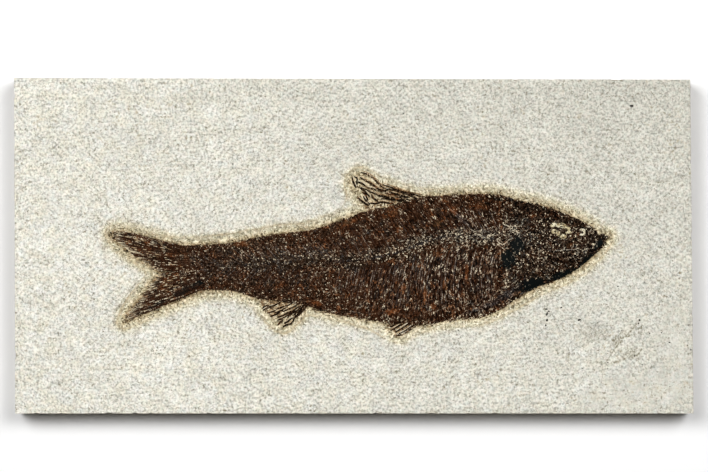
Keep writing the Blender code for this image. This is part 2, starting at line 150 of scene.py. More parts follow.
# The fins' rays, root first, as they lie broken and bent across one another.
DORSAL_RAYS = (
    ((7.15, 14.9), (6.6, 15.3), (5.3, 16.75), (3.85, 17.8), (2.0, 18.4)),
    ((7.4, 13.9), (6.6, 14.15), (4.9, 15.3), (3.0, 16.45), (1.7, 17.2)),
    ((5.9, 14.1), (5.3, 14.15), (4.0, 14.45), (2.85, 15.2)),
    ((9.2, 12.15), (7.15, 12.45), (5.15, 13.15), (3.4, 14.0), (2.0, 14.7)),
    ((13.5, 11.6), (11.5, 12.3), (9.0, 13.0), (7.15, 13.6), (5.6, 13.9)),
    ((16.2, 12.6), (12.9, 13.35), (11.3, 14.0), (9.2, 14.8), (7.6, 15.3)),
    ((12.6, 13.1), (11.6, 13.5), (10.0, 14.0), (8.3, 14.2), (7.15, 14.6)),
    ((13.2, 12.3), (12.0, 12.6), (9.75, 13.3), (8.0, 14.0)),
    ((13.5, 10.9), (11.5, 11.3), (9.2, 11.7), (6.9, 11.7)),
    ((12.4, 11.6), (10.4, 11.9), (8.4, 12.1), (6.2, 12.5)),
    ((9.2, 10.7), (7.15, 11.0), (5.7, 10.6), (4.0, 10.7)),
    ((16.3, 11.5), (14.9, 12.35), (13.6, 12.8), (12.2, 13.0)),
    ((0.4, 15.3), (0.0, 16.2), (-0.2, 17.2)),
    ((1.0, 16.2), (1.0, 17.0), (0.3, 17.3)),
    ((3.4, 12.15), (3.1, 12.9), (2.3, 13.45)),
    ((5.6, 11.6), (4.9, 12.15), (4.6, 13.0)),
    ((3.1, 10.6), (2.0, 11.4), (1.0, 12.3)),
    ((3.6, 11.0), (3.1, 11.6), (2.6, 12.45)),
    ((2.5, 15.4), (1.6, 15.9), (0.7, 16.0)),
    ((3.6, 12.9), (2.6, 14.0), (1.6, 14.6)),
)
ANAL_RAYS = (
    ((-12.0, -14.4), (-13.0, -15.9), (-14.3, -17.6)),
    ((-11.7, -15.1), (-12.5, -16.2), (-14.0, -17.8)),
    ((-12.8, -14.5), (-13.8, -16.1), (-14.9, -17.4)),
    ((-12.3, -14.6), (-13.4, -16.1), (-14.5, -17.4)),
    ((-11.9, -14.8), (-12.8, -16.1), (-14.2, -17.7)),
    ((-14.6, -18.0), (-15.1, -18.9), (-16.0, -19.5)),
    ((-15.9, -18.5), (-16.6, -19.05), (-17.3, -19.4)),
    ((-16.1, -19.6), (-16.8, -19.8), (-17.5, -20.3)),
    ((-14.0, -14.6), (-14.8, -15.25), (-16.8, -16.1), (-17.3, -16.5)),
    ((-13.6, -15.2), (-15.3, -16.4), (-16.8, -17.6), (-17.8, -18.15)),
    ((-14.3, -16.3), (-15.7, -17.15), (-16.3, -18.0)),
    ((-15.6, -14.4), (-16.6, -15.0), (-17.9, -15.25), (-19.6, -16.0), (-20.2, -15.9)),
    ((-17.6, -15.9), (-18.6, -16.4), (-19.6, -16.8)),
    ((-16.3, -16.7), (-17.9, -17.6), (-18.8, -17.7)),
    ((-18.9, -14.4), (-20.4, -15.1), (-21.9, -15.0), (-22.7, -15.7)),
    ((-20.9, -15.3), (-21.7, -15.6), (-22.5, -16.1)),
    ((-20.2, -16.4), (-20.8, -16.6), (-21.4, -16.8)),
    ((-19.0, -16.9), (-19.7, -17.3), (-20.7, -17.7)),
    ((-17.9, -18.2), (-18.4, -18.4), (-18.9, -18.6)),
    ((-18.1, -19.0), (-18.5, -19.4), (-18.8, -19.8)),
)
PELVIC_RAYS = (
    ((16.9, -19.1), (14.9, -20.4), (13.4, -21.6), (11.6, -22.4), (10.4, -22.4)),
    ((16.2, -19.2), (14.4, -20.3), (12.9, -21.3), (11.4, -22.0)),
    ((14.6, -18.9), (13.0, -20.0), (11.6, -21.0), (10.6, -21.6)),
    ((13.4, -18.7), (11.9, -19.7), (10.4, -20.6), (9.4, -21.2)),
    ((12.2, -18.5), (10.8, -19.4), (9.3, -20.3)),
    ((11.0, -18.5), (9.8, -19.2), (8.6, -20.1)),
)

# Pale seams between the bones of the gill cover, the cheek, the snout and the nape.
SKULL_SEAMS = (
    ((35.9, 1.9), (36.6, 0.6), (37.9, 0.6), (39.1, 1.6), (40.1, 1.9)),
    ((40.7, 4.9), (41.0, 3.4), (41.4, 2.3), (42.6, 1.3)),
    ((42.6, 0.9), (42.1, -0.4), (41.4, -1.4)),
    ((35.9, 0.6), (37.1, -0.4), (38.6, -1.4)),
    ((36.6, -0.9), (36.9, -2.9), (36.6, -4.1)),
    ((48.4, -7.6), (49.4, -8.4)),
    ((37.4, 5.6), (38.6, 5.0), (40.0, 4.9)),
    ((50.5, -1.2), (52.5, -1.0), (54.5, -0.95), (56.6, -0.6)),
    ((58.5, 5.0), (59.2, 4.7), (59.9, 4.8)),
    ((60.2, 4.4), (60.8, 3.6), (61.2, 2.9)),
    ((38.2, 11.6), (39.2, 12.0), (39.7, 11.3)),
)

# Smooth black bone: x, y, half its length, half its width, turn in degrees.
BLACK_PATCHES = (
    (40.9, 0.2, 2.7, 2.1, 50), (38.8, -3.2, 3.0, 2.1, 70), (44.9, -9.8, 3.8, 2.1, 15),
    (52.4, -7.2, 4.2, 1.1, 22), (58.5, -3.6, 3.4, 0.9, 40), (61.6, 0.6, 1.8, 0.8, 50),
    (-41.7, -10.9, 5.2, 0.95, 27),
    (-49.5, -14.8, 3.4, 0.5, 27), (-48.5, 0.8, 2.8, 0.6, -20),
)

# Where the bone runs darker or paler than the rest: the same, and by how much.
SHADE_PATCHES = (
    (46.0, 9.2, 7.0, 1.7, -16, -0.9), (51.0, 7.0, 3.4, 1.2, -25, -0.9), (57.0, -4.4, 6.5, 1.6, 38, -1.0),
    (50.8, -3.6, 2.6, 1.7, 30, -0.7), (40.0, 9.4, 3.8, 2.4, 0, -0.8), (46.5, 3.6, 1.8, 1.6, 0, -0.4),
    (41.0, 3.7, 2.0, 2.7, 0, 0.8), (45.0, -3.0, 3.4, 4.0, 0, -0.1), (37.6, -2.6, 3.0, 4.4, 0, -0.6),
    (46.0, -9.6, 5.0, 1.6, 10, -0.7), (55.0, -1.2, 2.6, 1.4, 30, -0.4),
    (57.2, 1.2, 3.4, 1.2, 30, -0.5), (60.0, 3.0, 2.4, 1.6, 0, -0.5), (29.5, 3.4, 6.0, 2.2, 0, 0.7),
    (34.0, -4.0, 2.6, 4.2, 0, 0.4), (24.0, -9.0, 3.0, 5.0, 80, -0.2), (-36.0, -4.0, 6.0, 3.6, 0, -0.4),
    (-24.0, -9.5, 8.0, 2.0, 5, -0.2), (2.0, -12.0, 7.0, 3.0, 10, 0.15), (5.0, 5.6, 5.0, 1.6, 20, 0.3),
    (-48.0, -0.5, 4.0, 2.0, -30, -0.3), (30.0, 10.6, 9.0, 1.6, 0, -0.4), (8.0, 3.4, 3.0, 1.2, 10, -0.7),
    (16.0, 6.6, 3.4, 1.2, 25, -0.6), (-2.0, -3.0, 2.4, 1.6, 0, -0.6), (-8.0, 3.4, 2.6, 1.0, 10, -0.6),
    (4.0, -7.5, 2.0, 2.6, 0, -0.5), (13.0, -3.5, 1.4, 3.0, 0, -0.5), (-15.0, -5.5, 3.0, 1.4, 5, -0.4),
)

# Rust-stained bone.
RUST_PATCHES = (
    (21.2, 5.6, 1.5, 0.9, 30, 1.0), (45.1, 7.4, 0.7, 0.6, 0, 0.8), (54.2, 0.2, 1.2, 0.6, 15, 0.7),
    (28.4, -6.5, 0.5, 2.2, 0, 1.0), (21.1, -2.1, 1.3, 0.9, 0, 0.8), (22.9, -10.0, 0.8, 1.3, 0, 0.8),
    (18.0, -12.0, 0.6, 2.2, 0, 0.8), (20.1, -15.0, 0.8, 0.7, 0, 0.9), (11.6, 4.1, 1.4, 0.7, 20, 0.7),
    (12.5, -10.8, 0.7, 1.5, 0, 0.9), (10.0, -16.4, 2.0, 0.8, 10, 0.8), (-9.0, -14.4, 1.4, 0.7, -10, 0.7),
    (-1.0, 6.0, 2.6, 0.8, 25, 0.6), (9.5, 8.0, 2.2, 1.0, 20, 0.5), (-52.5, 2.0, 3.0, 1.0, -25, 0.6),
    (-46.5, -8.6, 2.4, 1.0, 40, 0.5), (-48.0, -10.5, 1.0, 0.5, 40, 0.9), (-28.0, 0.5, 2.6, 0.8, 5, 0.5),
    (32.0, 10.0, 2.0, 0.8, 0, 0.5), (41.0, -11.8, 1.2, 0.6, 30, 0.9), (25.0, 9.0, 1.6, 0.8, -30, 0.6),
)

# The splinters' pale colour is partly real bone and partly painted glints.
# Where bright splinters of bone lie: x, y, half the spread along x, along y, how many,
# their turn in degrees, the scatter of the turn, the palest tone.
SPLINTER_BEDS = (
    (17.0, 2.2, 19.0, 2.0, 220, -12, 35, 1.0), (47.0, -2.5, 6.5, 5.0, 110, 35, 60, 1.0),
    (41.0, 3.5, 3.6, 3.6, 150, 55, 30, 1.0), (36.5, 2.5, 3.0, 3.0, 70, 50, 20, 0.95),
    (40.0, -9.5, 3.2, 2.8, 110, 42, 12, 1.0), (36.0, -12.5, 3.0, 2.2, 80, 42, 12, 1.0),
    (31.5, -15.6, 3.4, 1.6, 80, 38, 14, 0.95), (34.2, -5.2, 1.8, 3.2, 70, 80, 15, 1.0),
    (27.2, -2.0, 1.8, 2.4, 50, 62, 30, 1.0), (30.0, -9.0, 2.4, 6.0, 70, 86, 10, 0.8),
    (12.0, -15.2, 14.0, 1.8, 120, 18, 25, 0.85), (14.0, 8.0, 24.0, 4.2, 180, -32, 25, 0.6),
    (17.0, -8.0, 19.0, 7.5, 180, 76, 14, 0.62), (-20.0, -4.0, 22.0, 7.0, 130, 5, 60, 0.55),
    (57.5, 0.0, 3.6, 4.0, 40, 45, 25, 0.9), (50.0, 4.5, 6.0, 3.4, 35, -25, 50, 0.9),
    (-10.0, -1.5, 14.0, 1.5, 90, 0, 30, 0.8), (-33.0, -5.0, 9.0, 1.2, 60, 12, 20, 0.85),
    (58.6, -2.2, 3.6, 2.4, 40, 48, 12, 1.0), (30.0, 2.4, 6.5, 1.8, 50, 20, 50, 1.0),
)

# Thin stained scratches on the stone.
STAIN_LINES = (
    ((-59.5, -18.1), (-59.0, -15.9), (-56.4, -11.9), (-55.2, -10.3), (-53.5, -8.6)),
    ((-49.0, -6.8), (-50.9, -9.4), (-53.0, -12.6)),
    ((41.1, -14.6), (48.6, -10.9), (54.1, -7.6)),
    ((60.6, -28.6), (62.2, -29.2), (63.2, -29.0), (66.0, -25.0), (69.6, -21.1), (71.0, -19.4)),
    ((64.6, -29.4), (68.6, -28.0), (71.0, -27.4), (72.4, -25.2), (72.6, -23.6)),
    ((67.0, -23.0), (69.5, -22.4), (71.8, -21.6)),
)
SCRATCH_WIDTH = 0.27
SCRATCHED_PLACE = (67.0, -24.5, 7.5, 7.0)  # its middle, half its length, half its width

# Smudged stone, stone with calmer grain, and the stain on the right edge, as patches.
SMUDGES = (
    (66.4, -23.2, 2.6, 1.2, 45, 1.0), (69.5, -26.8, 2.2, 1.4, 20, 0.8),
    (60.5, -21.5, 4.5, 3.0, 0, 0.55),
)
CALM_STONE = (
    (72.0, -36.5, 18.0, 5.5, 5, 1.0), (80.5, -24.0, 5.5, 12.0, 0, 0.8),
    (-76.0, 2.0, 6.0, 12.0, 0, 0.3),
)
EDGE_STAIN = (85.0, -27.5, 3.0, 9.5, 0)

# Dark grains of mineral on the stone: x, y, how long they are.
DARK_GRAINS = (
    (69.4, 35.1, 1.5), (48.1, -15.9, 1.1), (48.7, -16.3, 0.9), (48.2, -17.0, 1.6),
    (48.4, -18.6, 1.4), (47.9, -19.9, 0.9), (56.4, -18.6, 1.1), (51.9, -15.4, 0.7),
    (26.1, -21.1, 0.7), (66.0, -10.2, 0.7), (-30.2, 20.4, 0.6), (12.4, 33.0, 0.6),
    (71.4, -18.6, 0.9), (71.2, -19.4, 0.6), (74.0, -21.9, 0.6), (77.0, -21.7, 0.65), (78.9, -24.2, 0.8),
    (56.8, -18.8, 0.5), (62.3, -22.1, 0.5), (63.3, -19.4, 0.45), (67.0, -21.2, 0.6), (61.1, -19.2, 0.45),
    (59.4, -22.1, 0.45), (70.2, -27.5, 0.8), (72.1, -29.7, 0.5), (57.1, -30.6, 0.5), (63.5, -29.2, 0.6),
    (63.4, -30.7, 0.5), (84.3, -26.0, 0.6), (83.4, -24.9, 0.5), (83.6, -19.8, 0.55), (79.0, -35.2, 0.4),
)

# The eye's filling of stone, in lumps: x, y, half length, half width, turn in degrees.
EYE_PLACE = (51.9, 3.7)
EYE_LUMPS = (
    (49.9, 5.3, 0.8, 0.65, 30), (51.2, 5.35, 1.05, 0.75, -15), (52.5, 5.05, 1.05, 0.7, -20),
    (53.6, 4.5, 0.85, 0.55, -25), (50.3, 3.6, 0.8, 0.6, -10), (51.4, 3.0, 1.0, 0.65, -25),
    (52.5, 2.4, 1.05, 0.65, -25), (53.9, 3.4, 0.8, 0.5, 5),
)
NOSTRIL = (57.2, 3.4)
JAW_BARBS = (
    ((47.6, -8.6), (47.0, -9.9)), ((48.6, -8.2), (48.9, -9.7)), ((49.3, -7.9), (49.9, -8.8)),
)

# How fine the fish is made.
BODY_COLUMNS, BODY_ROWS = 600, 150
SCALE_SIDES = 5
SCALE_PITCH = 0.42
SKULL_CHIPS = 2000
CRUMBS = 20000
TAIL_FLECKS = 90  # on each lobe
RIBS, RIB_PITCH = 62, 0.66
SPINES = 52
NAPE_BONES = 9
PECTORAL_RAYS = 12
VERTEBRAE = 38
VERTEBRA_LENGTH, VERTEBRA_RADIUS = 1.75, 0.62
GRAIN_SIZE = 0.25
ROOT_REACH = 0.9  # how far each fin ray runs on toward the body


# ---- lines and areas --------------------------------------------------------------------


def catmull(a, b, c, d, t):
    return 0.5 * (
        2 * b + (c - a) * t + (2 * a - 5 * b + 4 * c - d) * t ** 2 + (3 * b - a - 3 * c + d) * t ** 3
    )


def along(line, shares):
    """Points at shares (0 to 1) of the way along a smooth open line."""
    line = np.asarray(line, float)
    last = len(line) - 1
    shares = np.clip(np.atleast_1d(shares), 0, 1) * last
    i = np.minimum(shares.astype(int), last - 1)
    near = [line[np.clip(i + k, 0, last)] for k in (-1, 0, 1, 2)]
    return catmull(*near, (shares - i)[:, None])


def smooth_loop(corners, pieces):
    corners = np.asarray(corners, float)
    near = [np.roll(corners, -k, axis=0) for k in (-1, 0, 1, 2)]
    steps = [catmull(*near, step / pieces) for step in range(pieces)]
    return np.stack(steps, axis=1).reshape(-1, 2)


def reader_of(line):
    """A function that gives the line's height at any x, smooth between its points."""
    dense = along(line, np.linspace(0, 1, 40 * len(line)))
    return lambda x: np.interp(x, dense[:, 0], dense[:, 1])


def step_up(value, low, high):
    share = np.clip((np.asarray(value, float) - low) / (high - low), 0, 1)
    return share * share * (3 - 2 * share)


def bump(distance, width):
    share = np.clip(np.abs(distance) / width, 0, 1)
    return (1 - share * share) ** 2


def inside_distance(points, loop):
    """Distance from each point to the loop's outline, positive inside it."""
    found = []
    starts, ends = loop, np.roll(loop, -1, axis=0)
    runs = ends - starts
    lengths = (runs ** 2).sum(1)
    for part in np.array_split(points, max(1, len(points) // 8000)):
        to = part[:, None] - starts
        share = np.clip((to * runs).sum(2) / lengths, 0, 1)
        away = np.linalg.norm(to - share[..., None] * runs, axis=2).min(1)
        y = part[:, 1, None]
        crosses = (starts[:, 1] > y) != (ends[:, 1] > y)
        rise = np.where(np.abs(runs[:, 1]) < 1e-9, 1e-9, runs[:, 1])
        hits = starts[:, 0] + (y - starts[:, 1]) * runs[:, 0] / rise
        inside = (crosses & (part[:, 0, None] < hits)).sum(1) % 2 == 1
        found.append(np.where(inside, away, -away))
    return np.concatenate(found)


def rough(points, size, seed=0):
    """Smooth noise from about -1 to 1 at each point, with lumps about `size` across."""
    shift = Vector((seed * 17.3, seed * 5.1, seed * 9.7))
    return np.array([noise.noise(Vector(p) / size + shift) for p in points])


back_at, belly_at, column_at = (reader_of(line) for line in (BACK_LINE, BELLY_LINE, COLUMN_LINE))


# ---- work on meshes ---------------------------------------------------------------------


def rest_hands():
    """Out of edit mode, with nothing selected."""
    if bpy.context.object and bpy.context.mode != "OBJECT":
        bpy.ops.object.mode_set(mode="OBJECT")
    bpy.ops.object.select_all(action="DESELECT")


def just_added(name):
    obj = bpy.context.active_object
    obj.name = name
    obj.data.name = name
    return obj


def take(obj):
    rest_hands()
    obj.select_set(True)
    bpy.context.view_layer.objects.active = obj
    return obj


@contextlib.contextmanager
def editing(obj, selection="SELECT", parts="VERT"):
    """Edit mode on one object, with all of its vertices, edges or faces selected, or none."""
    take(obj)
    bpy.ops.object.mode_set(mode="EDIT")
    bpy.ops.mesh.select_mode(type=parts)
    bpy.ops.mesh.select_all(action=selection)
    yield
    bpy.ops.object.mode_set(mode="OBJECT")


def cut_across(heights):
    """Cuts a shape that is in edit mode through at these heights."""
    for height in heights:
        bpy.ops.mesh.select_all(action="SELECT")
        bpy.ops.mesh.bisect(plane_co=(0, 0, height), plane_no=(0, 0, 1))


def apply_place(obj):
    take(obj)
    bpy.ops.object.transform_apply(location=True, rotation=True, scale=True)


def places(obj):
    flat = np.empty(len(obj.data.vertices) * 3, np.float32)
    obj.data.vertices.foreach_get("co", flat)
    return flat.reshape(-1, 3).astype(float) / MM


def put_places(obj, points):
    obj.data.vertices.foreach_set("co", (np.asarray(points) * MM).astype(np.float32).ravel())
    obj.data.update()


def press_flat(points):
    """Presses whatever stands proudest of the fish down under the part's own height."""
    pressed = np.array(points, float)
    proud = np.maximum(pressed[:, 2] - PRESS_FROM, 0)
    room = PRESS_TO - PRESS_FROM
    pressed[:, 2] = np.where(proud > 0, PRESS_FROM + room * np.tanh(proud / room), pressed[:, 2])
    return pressed


def give_attribute(obj, name, values):
    attribute = obj.data.attributes.new(name, "FLOAT", "POINT")
    attribute.data.foreach_set("value", np.asarray(values, np.float32))


def add_grid(name, columns, rows, size_x=1.0, size_y=1.0, z=0.0):
    """A flat grid, its sides and height in millimetres."""
    rest_hands()
    bpy.ops.mesh.primitive_grid_add(
        x_subdivisions=columns, y_subdivisions=rows, size=1, location=(0, 0, z * MM)
    )
    obj = just_added(name)
    obj.scale = (size_x * MM, size_y * MM, 1)
    apply_place(obj)
    return obj


def refine(obj, wanted, cuts=2):
    """Divides the faces whose middles (millimetres) are wanted."""
    with editing(obj, "DESELECT", "FACE"):
        mesh = bmesh.from_edit_mesh(obj.data)
        middles = np.array([face.calc_center_median() for face in mesh.faces]) / MM
        for face, chosen in zip(mesh.faces, wanted(middles)):
            face.select = bool(chosen)
        bmesh.update_edit_mesh(obj.data)
        bpy.ops.mesh.subdivide(number_cuts=cuts)


def sink_rim(obj, depth):
    """Extrudes the open rim of a sheet down to a level (millimetres) and closes it below."""
    with editing(obj, "DESELECT", "EDGE"):
        bpy.ops.mesh.select_non_manifold()
        bpy.ops.mesh.extrude_region_move(TRANSFORM_OT_translate={"value": (0, 0, -1 * MM)})
        mesh = bmesh.from_edit_mesh(obj.data)
        for vert in mesh.verts:
            if vert.select:
                vert.co.z = depth * MM
        bmesh.update_edit_mesh(obj.data)
        bpy.ops.mesh.edge_face_add()
        bpy.ops.mesh.select_all(action="SELECT")
        bpy.ops.mesh.normals_make_consistent(inside=False)


def smooth(obj):
    take(obj)
    bpy.ops.object.shade_smooth_by_angle(angle=math.radians(SMOOTH_UNDER))


def join(objects, name):
    rest_hands()
    for obj in objects:
        obj.select_set(True)
    bpy.context.view_layer.objects.active = objects[0]
    bpy.ops.object.join()
    return just_added(name)


def shape_of(model):
    """The points (millimetres) and faces of a small model, which is then put away."""
    shape = places(model)
    faces = [list(face.vertices) for face in model.data.polygons]
    bpy.data.objects.remove(model)
    return shape, faces


def lay_copies(name, copies, faces, chances=None):
    """One mesh of many copies of a shape: the points of each, and the faces that all have."""
    corners = len(copies[0])
    all_faces = [[v + k * corners for v in face] for k in range(len(copies)) for face in faces]
    mesh = bpy.data.meshes.new(name)
    mesh.from_pydata(press_flat(np.concatenate(copies)) * MM, [], all_faces)
    obj = bpy.data.objects.new(name, mesh)
    bpy.context.scene.collection.objects.link(obj)
    with editing(obj):
        bpy.ops.mesh.normals_make_consistent(inside=False)
    if chances is not None:
        give_attribute(obj, "chance", np.repeat(chances, corners))
    return obj


def ride(obj, node, material, first=False):
    """Dresses a finished piece and hangs it on the slab's one body."""
    obj.data.materials.clear()
    obj.data.materials.append(material)
    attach(obj, "root")
    if first:
        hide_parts(node)


# ---- the slab ---------------------------------------------------------------------------


def on_sawn_outline(x, y):
    """Moves points of a true rectangle onto the slab's slightly skewed one."""
    u = (x - SLAB_LOW.x) / (SLAB_HIGH.x - SLAB_LOW.x)
    v = (y - SLAB_LOW.y) / (SLAB_HIGH.y - SLAB_LOW.y)
    low = SLAB_CORNERS[0] + u[:, None] * (SLAB_CORNERS[1] - SLAB_CORNERS[0])
    high = SLAB_CORNERS[3] + u[:, None] * (SLAB_CORNERS[2] - SLAB_CORNERS[3])
    return low + v[:, None] * (high - low)


def edge_distance(points):
    """Distance (millimetres) inwards from the sawn outline, with the corners rubbed round."""
    distance = inside_distance(points[:, :2], SLAB_CORNERS)
    for corner, wear in zip(SLAB_CORNERS, CORNER_WEAR):
        middle = corner * (1 - 2.2 * wear / HALF_DIAGONAL)
        reach = np.linalg.norm(points[:, :2] - corner, axis=1)
        diagonal = ((middle - points[:, :2]) * np.sign(corner)).sum(1) / math.sqrt(2)
        distance = np.where(reach < 4 * wear, np.minimum(distance, diagonal + wear), distance)
    return distance


def body_and_tail_outline():
    stations = np.linspace(-37, SNOUT_TIP, 90)
    belly = np.column_stack((stations, belly_at(stations)))
    back = np.column_stack((stations, back_at(stations)))[::-1]
    shares = np.linspace(0, 1, 20)
    root = along(UPPER_TAIL_ROOTS, 0)
    tips = (along(UPPER_TAIL_TIPS, shares), along(LOWER_TAIL_TIPS, shares))
    return np.vstack((belly, back, root) + tips)


def fan_outline(roots, tips):
    shares = np.linspace(0, 1, 20)
    return np.vstack((along(roots, shares), along(tips, shares)[::-1]))


def make_slab(material):
    size_x, size_y = SLAB_HIGH.x - SLAB_LOW.x, SLAB_HIGH.y - SLAB_LOW.y
    face, back = (add_grid(name, FACE_COLUMNS, FACE_ROWS, size_x, size_y, height)
                  for name, height in (("slab_face", FACE), ("slab_back", 0.0)))
    with editing(back):
        bpy.ops.mesh.flip_normals()
    ring = smooth_loop(SCRIBED_RING, 4) + FISH_SHIFT[:2]
    fish = body_and_tail_outline() + FISH_SHIFT[:2]

    def round_the_fish(middles):
        in_ring = inside_distance(middles[:, :2], ring)
        in_fish = inside_distance(middles[:, :2], fish)
        return (in_ring > -1.2) & (in_fish < 1.0)

    def round_the_scratches(middles):
        x, y, long, wide = SCRATCHED_PLACE
        return np.hypot((middles[:, 0] - x) / long, (middles[:, 1] - y) / wide) < 1

    refine(face, round_the_fish)
    refine(face, round_the_scratches)
    slab = join([face, back], "slab_stone")
    with editing(slab, "DESELECT", "EDGE"):
        bpy.ops.mesh.select_non_manifold()
        bpy.ops.mesh.bridge_edge_loops(number_cuts=SIDE_CUTS)
    shape_slab(slab, ring, fish)
    smooth(slab)
    ride(slab, "slab", material, first=True)


def stone_relief(points):
    """The face's own unevenness (millimetres, downwards): broad waves, lumps and pits."""
    waves = 0.025 * (1 + rough(points, 9.0, 1)) + 0.015 * (1 + rough(points, 2.6, 2))
    pits = np.clip(rough(points, 1.15, 16) + 0.5 * rough(points, 4.5, 17) - 0.15, 0, 1)
    return waves + 0.09 * pits


def shape_slab(slab, ring, fish):
    points = places(slab)
    points[:, :2] = on_sawn_outline(points[:, 0], points[:, 1])
    share_down = 1 - points[:, 2] / FACE
    on_side = (share_down > 1e-4) & (share_down < 1 - 1e-4)
    from_arris = np.minimum(share_down, 1 - share_down)
    crowded = 1.8 * from_arris ** 2 + 0.1 * from_arris
    points[:, 2] = np.where(share_down < 0.5, FACE * (1 - crowded), FACE * crowded)
    on_face = share_down <= 1e-4
    on_back = share_down >= 1 - 1e-4
    inland = edge_distance(points)

    in_ring = inside_distance(points[:, :2], ring)
    in_fish = inside_distance(points[:, :2], fish)
    scribed = step_up(in_ring + 0.35 * rough(points, 2.5, 4), 0.0, RING_SLOPE)
    pecked = rough(points, 0.55, 6) * 0.6 + rough(points, 1.1, 7) * 0.6
    z = points[:, 2] - stone_relief(points)
    z = z - scribed * (RING_DEPTH - 0.06 + 0.07 * pecked)
    z = z - 0.5 * step_up(in_fish, 0.2, 1.2)
    worn = ARRIS_WEAR * (0.5 + 0.35 * rough(points, 3.0, 3) + 0.3 * rough(points, 0.9, 8))
    z = z - np.clip(worn, 0.08, 0.7) * (1 - step_up(inland, 0.0, 0.9))
    points[:, 2] = np.where(on_face, z, points[:, 2])

    hollow = 0.05 * (1 + rough(points, 14.0, 11)) + 0.05 * (1 + rough(points, 3.0, 12))
    points[:, 2] = np.where(on_back & (inland > 3), hollow * step_up(inland, 3, 6), points[:, 2])

    layers = np.column_stack((points[:, :2] / 26, points[:, 2:3]))
    ledge = 0.08 * (1 + rough(layers, 0.55, 13)) + 0.05 * (1 + rough(layers, 0.23, 14))
    chip = np.clip(rough(points, 1.3, 15) - 0.3, 0, 1) * 0.8
    near_arris = 1 - step_up(np.minimum(points[:, 2], FACE - points[:, 2]), 0.2, 1.6)
    inward = ledge * step_up(FACE / 2 - np.abs(points[:, 2] - FACE / 2), 0.3, 1.0)
    inward = inward + near_arris * (0.07 + chip)
    on_long_side = (points[:, 1] > SLAB_HIGH.y - 1) | (points[:, 1] < SLAB_LOW.y + 1)
    on_short_side = (points[:, 0] > SLAB_HIGH.x - 1.2) | (points[:, 0] < SLAB_LOW.x + 1.2)
    rim = on_side | (inland < 0.05)
    points[:, 1] -= np.where(rim & on_long_side, np.sign(points[:, 1]) * inward, 0)
    points[:, 0] -= np.where(rim & on_short_side, np.sign(points[:, 0]) * inward, 0)
    put_places(slab, points)
    mark_stone(slab, points, in_ring, in_fish, on_face, on_side, on_back)


def mark_stone(slab, points, in_ring, in_fish, on_face, on_side, on_back):
    """Attributes that the stone's colour follows."""
    fans = ((DORSAL_ROOTS, DORSAL_TIPS), (ANAL_ROOTS, ANAL_TIPS), (PELVIC_ROOTS, PELVIC_TIPS))
    flat = points[:, :2]
    in_fins = np.max([inside_distance(flat, fan_outline(*fan) + FISH_SHIFT[:2]) for fan in fans], axis=0)
    away = np.minimum(-in_fish, np.maximum(-in_fins, 0) + 0.6)
    skin_reach = np.where(points[:, 1] < 0, 6.5, 4.2)
    rough_line = 0.12 * rough(points, 0.8, 19)
    lines = [bump(distance_to(flat, line) + rough_line, SCRATCH_WIDTH) for line in STAIN_LINES]
    x, y = (flat - FISH_SHIFT[:2]).T
    marks = {
        "away_from_fish": np.where(on_face, np.clip(away, 0, 5) / 5, 1),
        "under_fins": step_up(in_fins, -0.3, 0.7) * on_face,
        "near_body": (1 - step_up(-in_fish, 0.2, skin_reach)) * on_face,
        "tool_line": bump(in_ring - 0.35 + 0.3 * rough(points, 2.0, 18), 0.42) * on_face,
        "stain_line": np.max(lines, axis=0) * on_face,
        "smudge": all_patches(x, y, SMUDGES) * on_face,
        "calm": all_patches(x, y, CALM_STONE) * on_face,
        "edge_stain": in_patch(x, y, *EDGE_STAIN) * on_side * (points[:, 2] > FACE / 2),
        "sawn_side": on_side,
        "underside": on_back,
    }
    for name, values in marks.items():
        give_attribute(slab, name, values)


def distance_to(places_seen, line):
    """How far each place, seen from above, lies from a drawn line."""
    marks = along(line, np.linspace(0, 1, 12 * len(line))) + FISH_SHIFT[:2]
    nearest = np.full(len(places_seen), 99.0)
    for a, b in zip(marks[:-1], marks[1:]):
        run = b - a
        share = np.clip((places_seen - a) @ run / max(run @ run, 1e-9), 0, 1)
        away = np.linalg.norm(places_seen - a - share[:, None] * run, axis=1)
        nearest = np.minimum(nearest, away)
    return nearest


def make_dark_grains(material):
    """Single dark grains of mineral, half sunk in the face."""
    grain = model_lump("grain")
    dice = np.random.default_rng(31)
    x, y, long = np.array(DARK_GRAINS).T
    heights = np.full(len(x), FACE - 0.05)
    turn = dice.uniform(0, 3, len(x))
    grains = scatter_shapes(grain, "dark_grains", x, y, heights, long, long * 0.75, 0.16, turn, dice, 0)
    smooth(grains)
    ride(grains, "slab", material)


# ---- the fish's body --------------------------------------------------------------------


def margins(x):
    """The belly's and the back's outlines, ragged with scutes and broken scales."""
    flat = np.column_stack((x, np.zeros_like(x), np.zeros_like(x)))
    ragged = 0.3 * rough(flat, 0.55, 21) + 0.15 * rough(flat, 1.7, 22)
    tooth = 0.5 - (x / VERTEBRA_PITCH) % 1.0
    on_back = step_up(x, 16, 19) * (1 - step_up(x, 38, 41))
    on_belly = step_up(x, -12, -8) * (1 - step_up(x, 38, 42))
    thin = step_up(SNOUT_TIP - x, 0.2, 3.0)
    back = back_at(x) + thin * (ragged + 0.34 * tooth * on_back)
    belly = belly_at(x) + thin * (ragged[::-1] - 0.34 * tooth * on_belly)
    return belly, back


def crown_at(x, share):
    """Height (millimetres) of the pressed body, without its bones and scales."""
    width = np.clip((back_at(x) - belly_at(x)) / 16, 0, 1)
    thinning = step_up(x, TAIL_END_OF_BODY, TAIL_END_OF_BODY + 16)
    crown = (1 - np.abs(2 * share - 1) ** 2.6).clip(0) ** 0.75
    return RIM + CROWN * crown * (0.35 + 0.65 * width) * (0.12 + 0.88 * thinning)


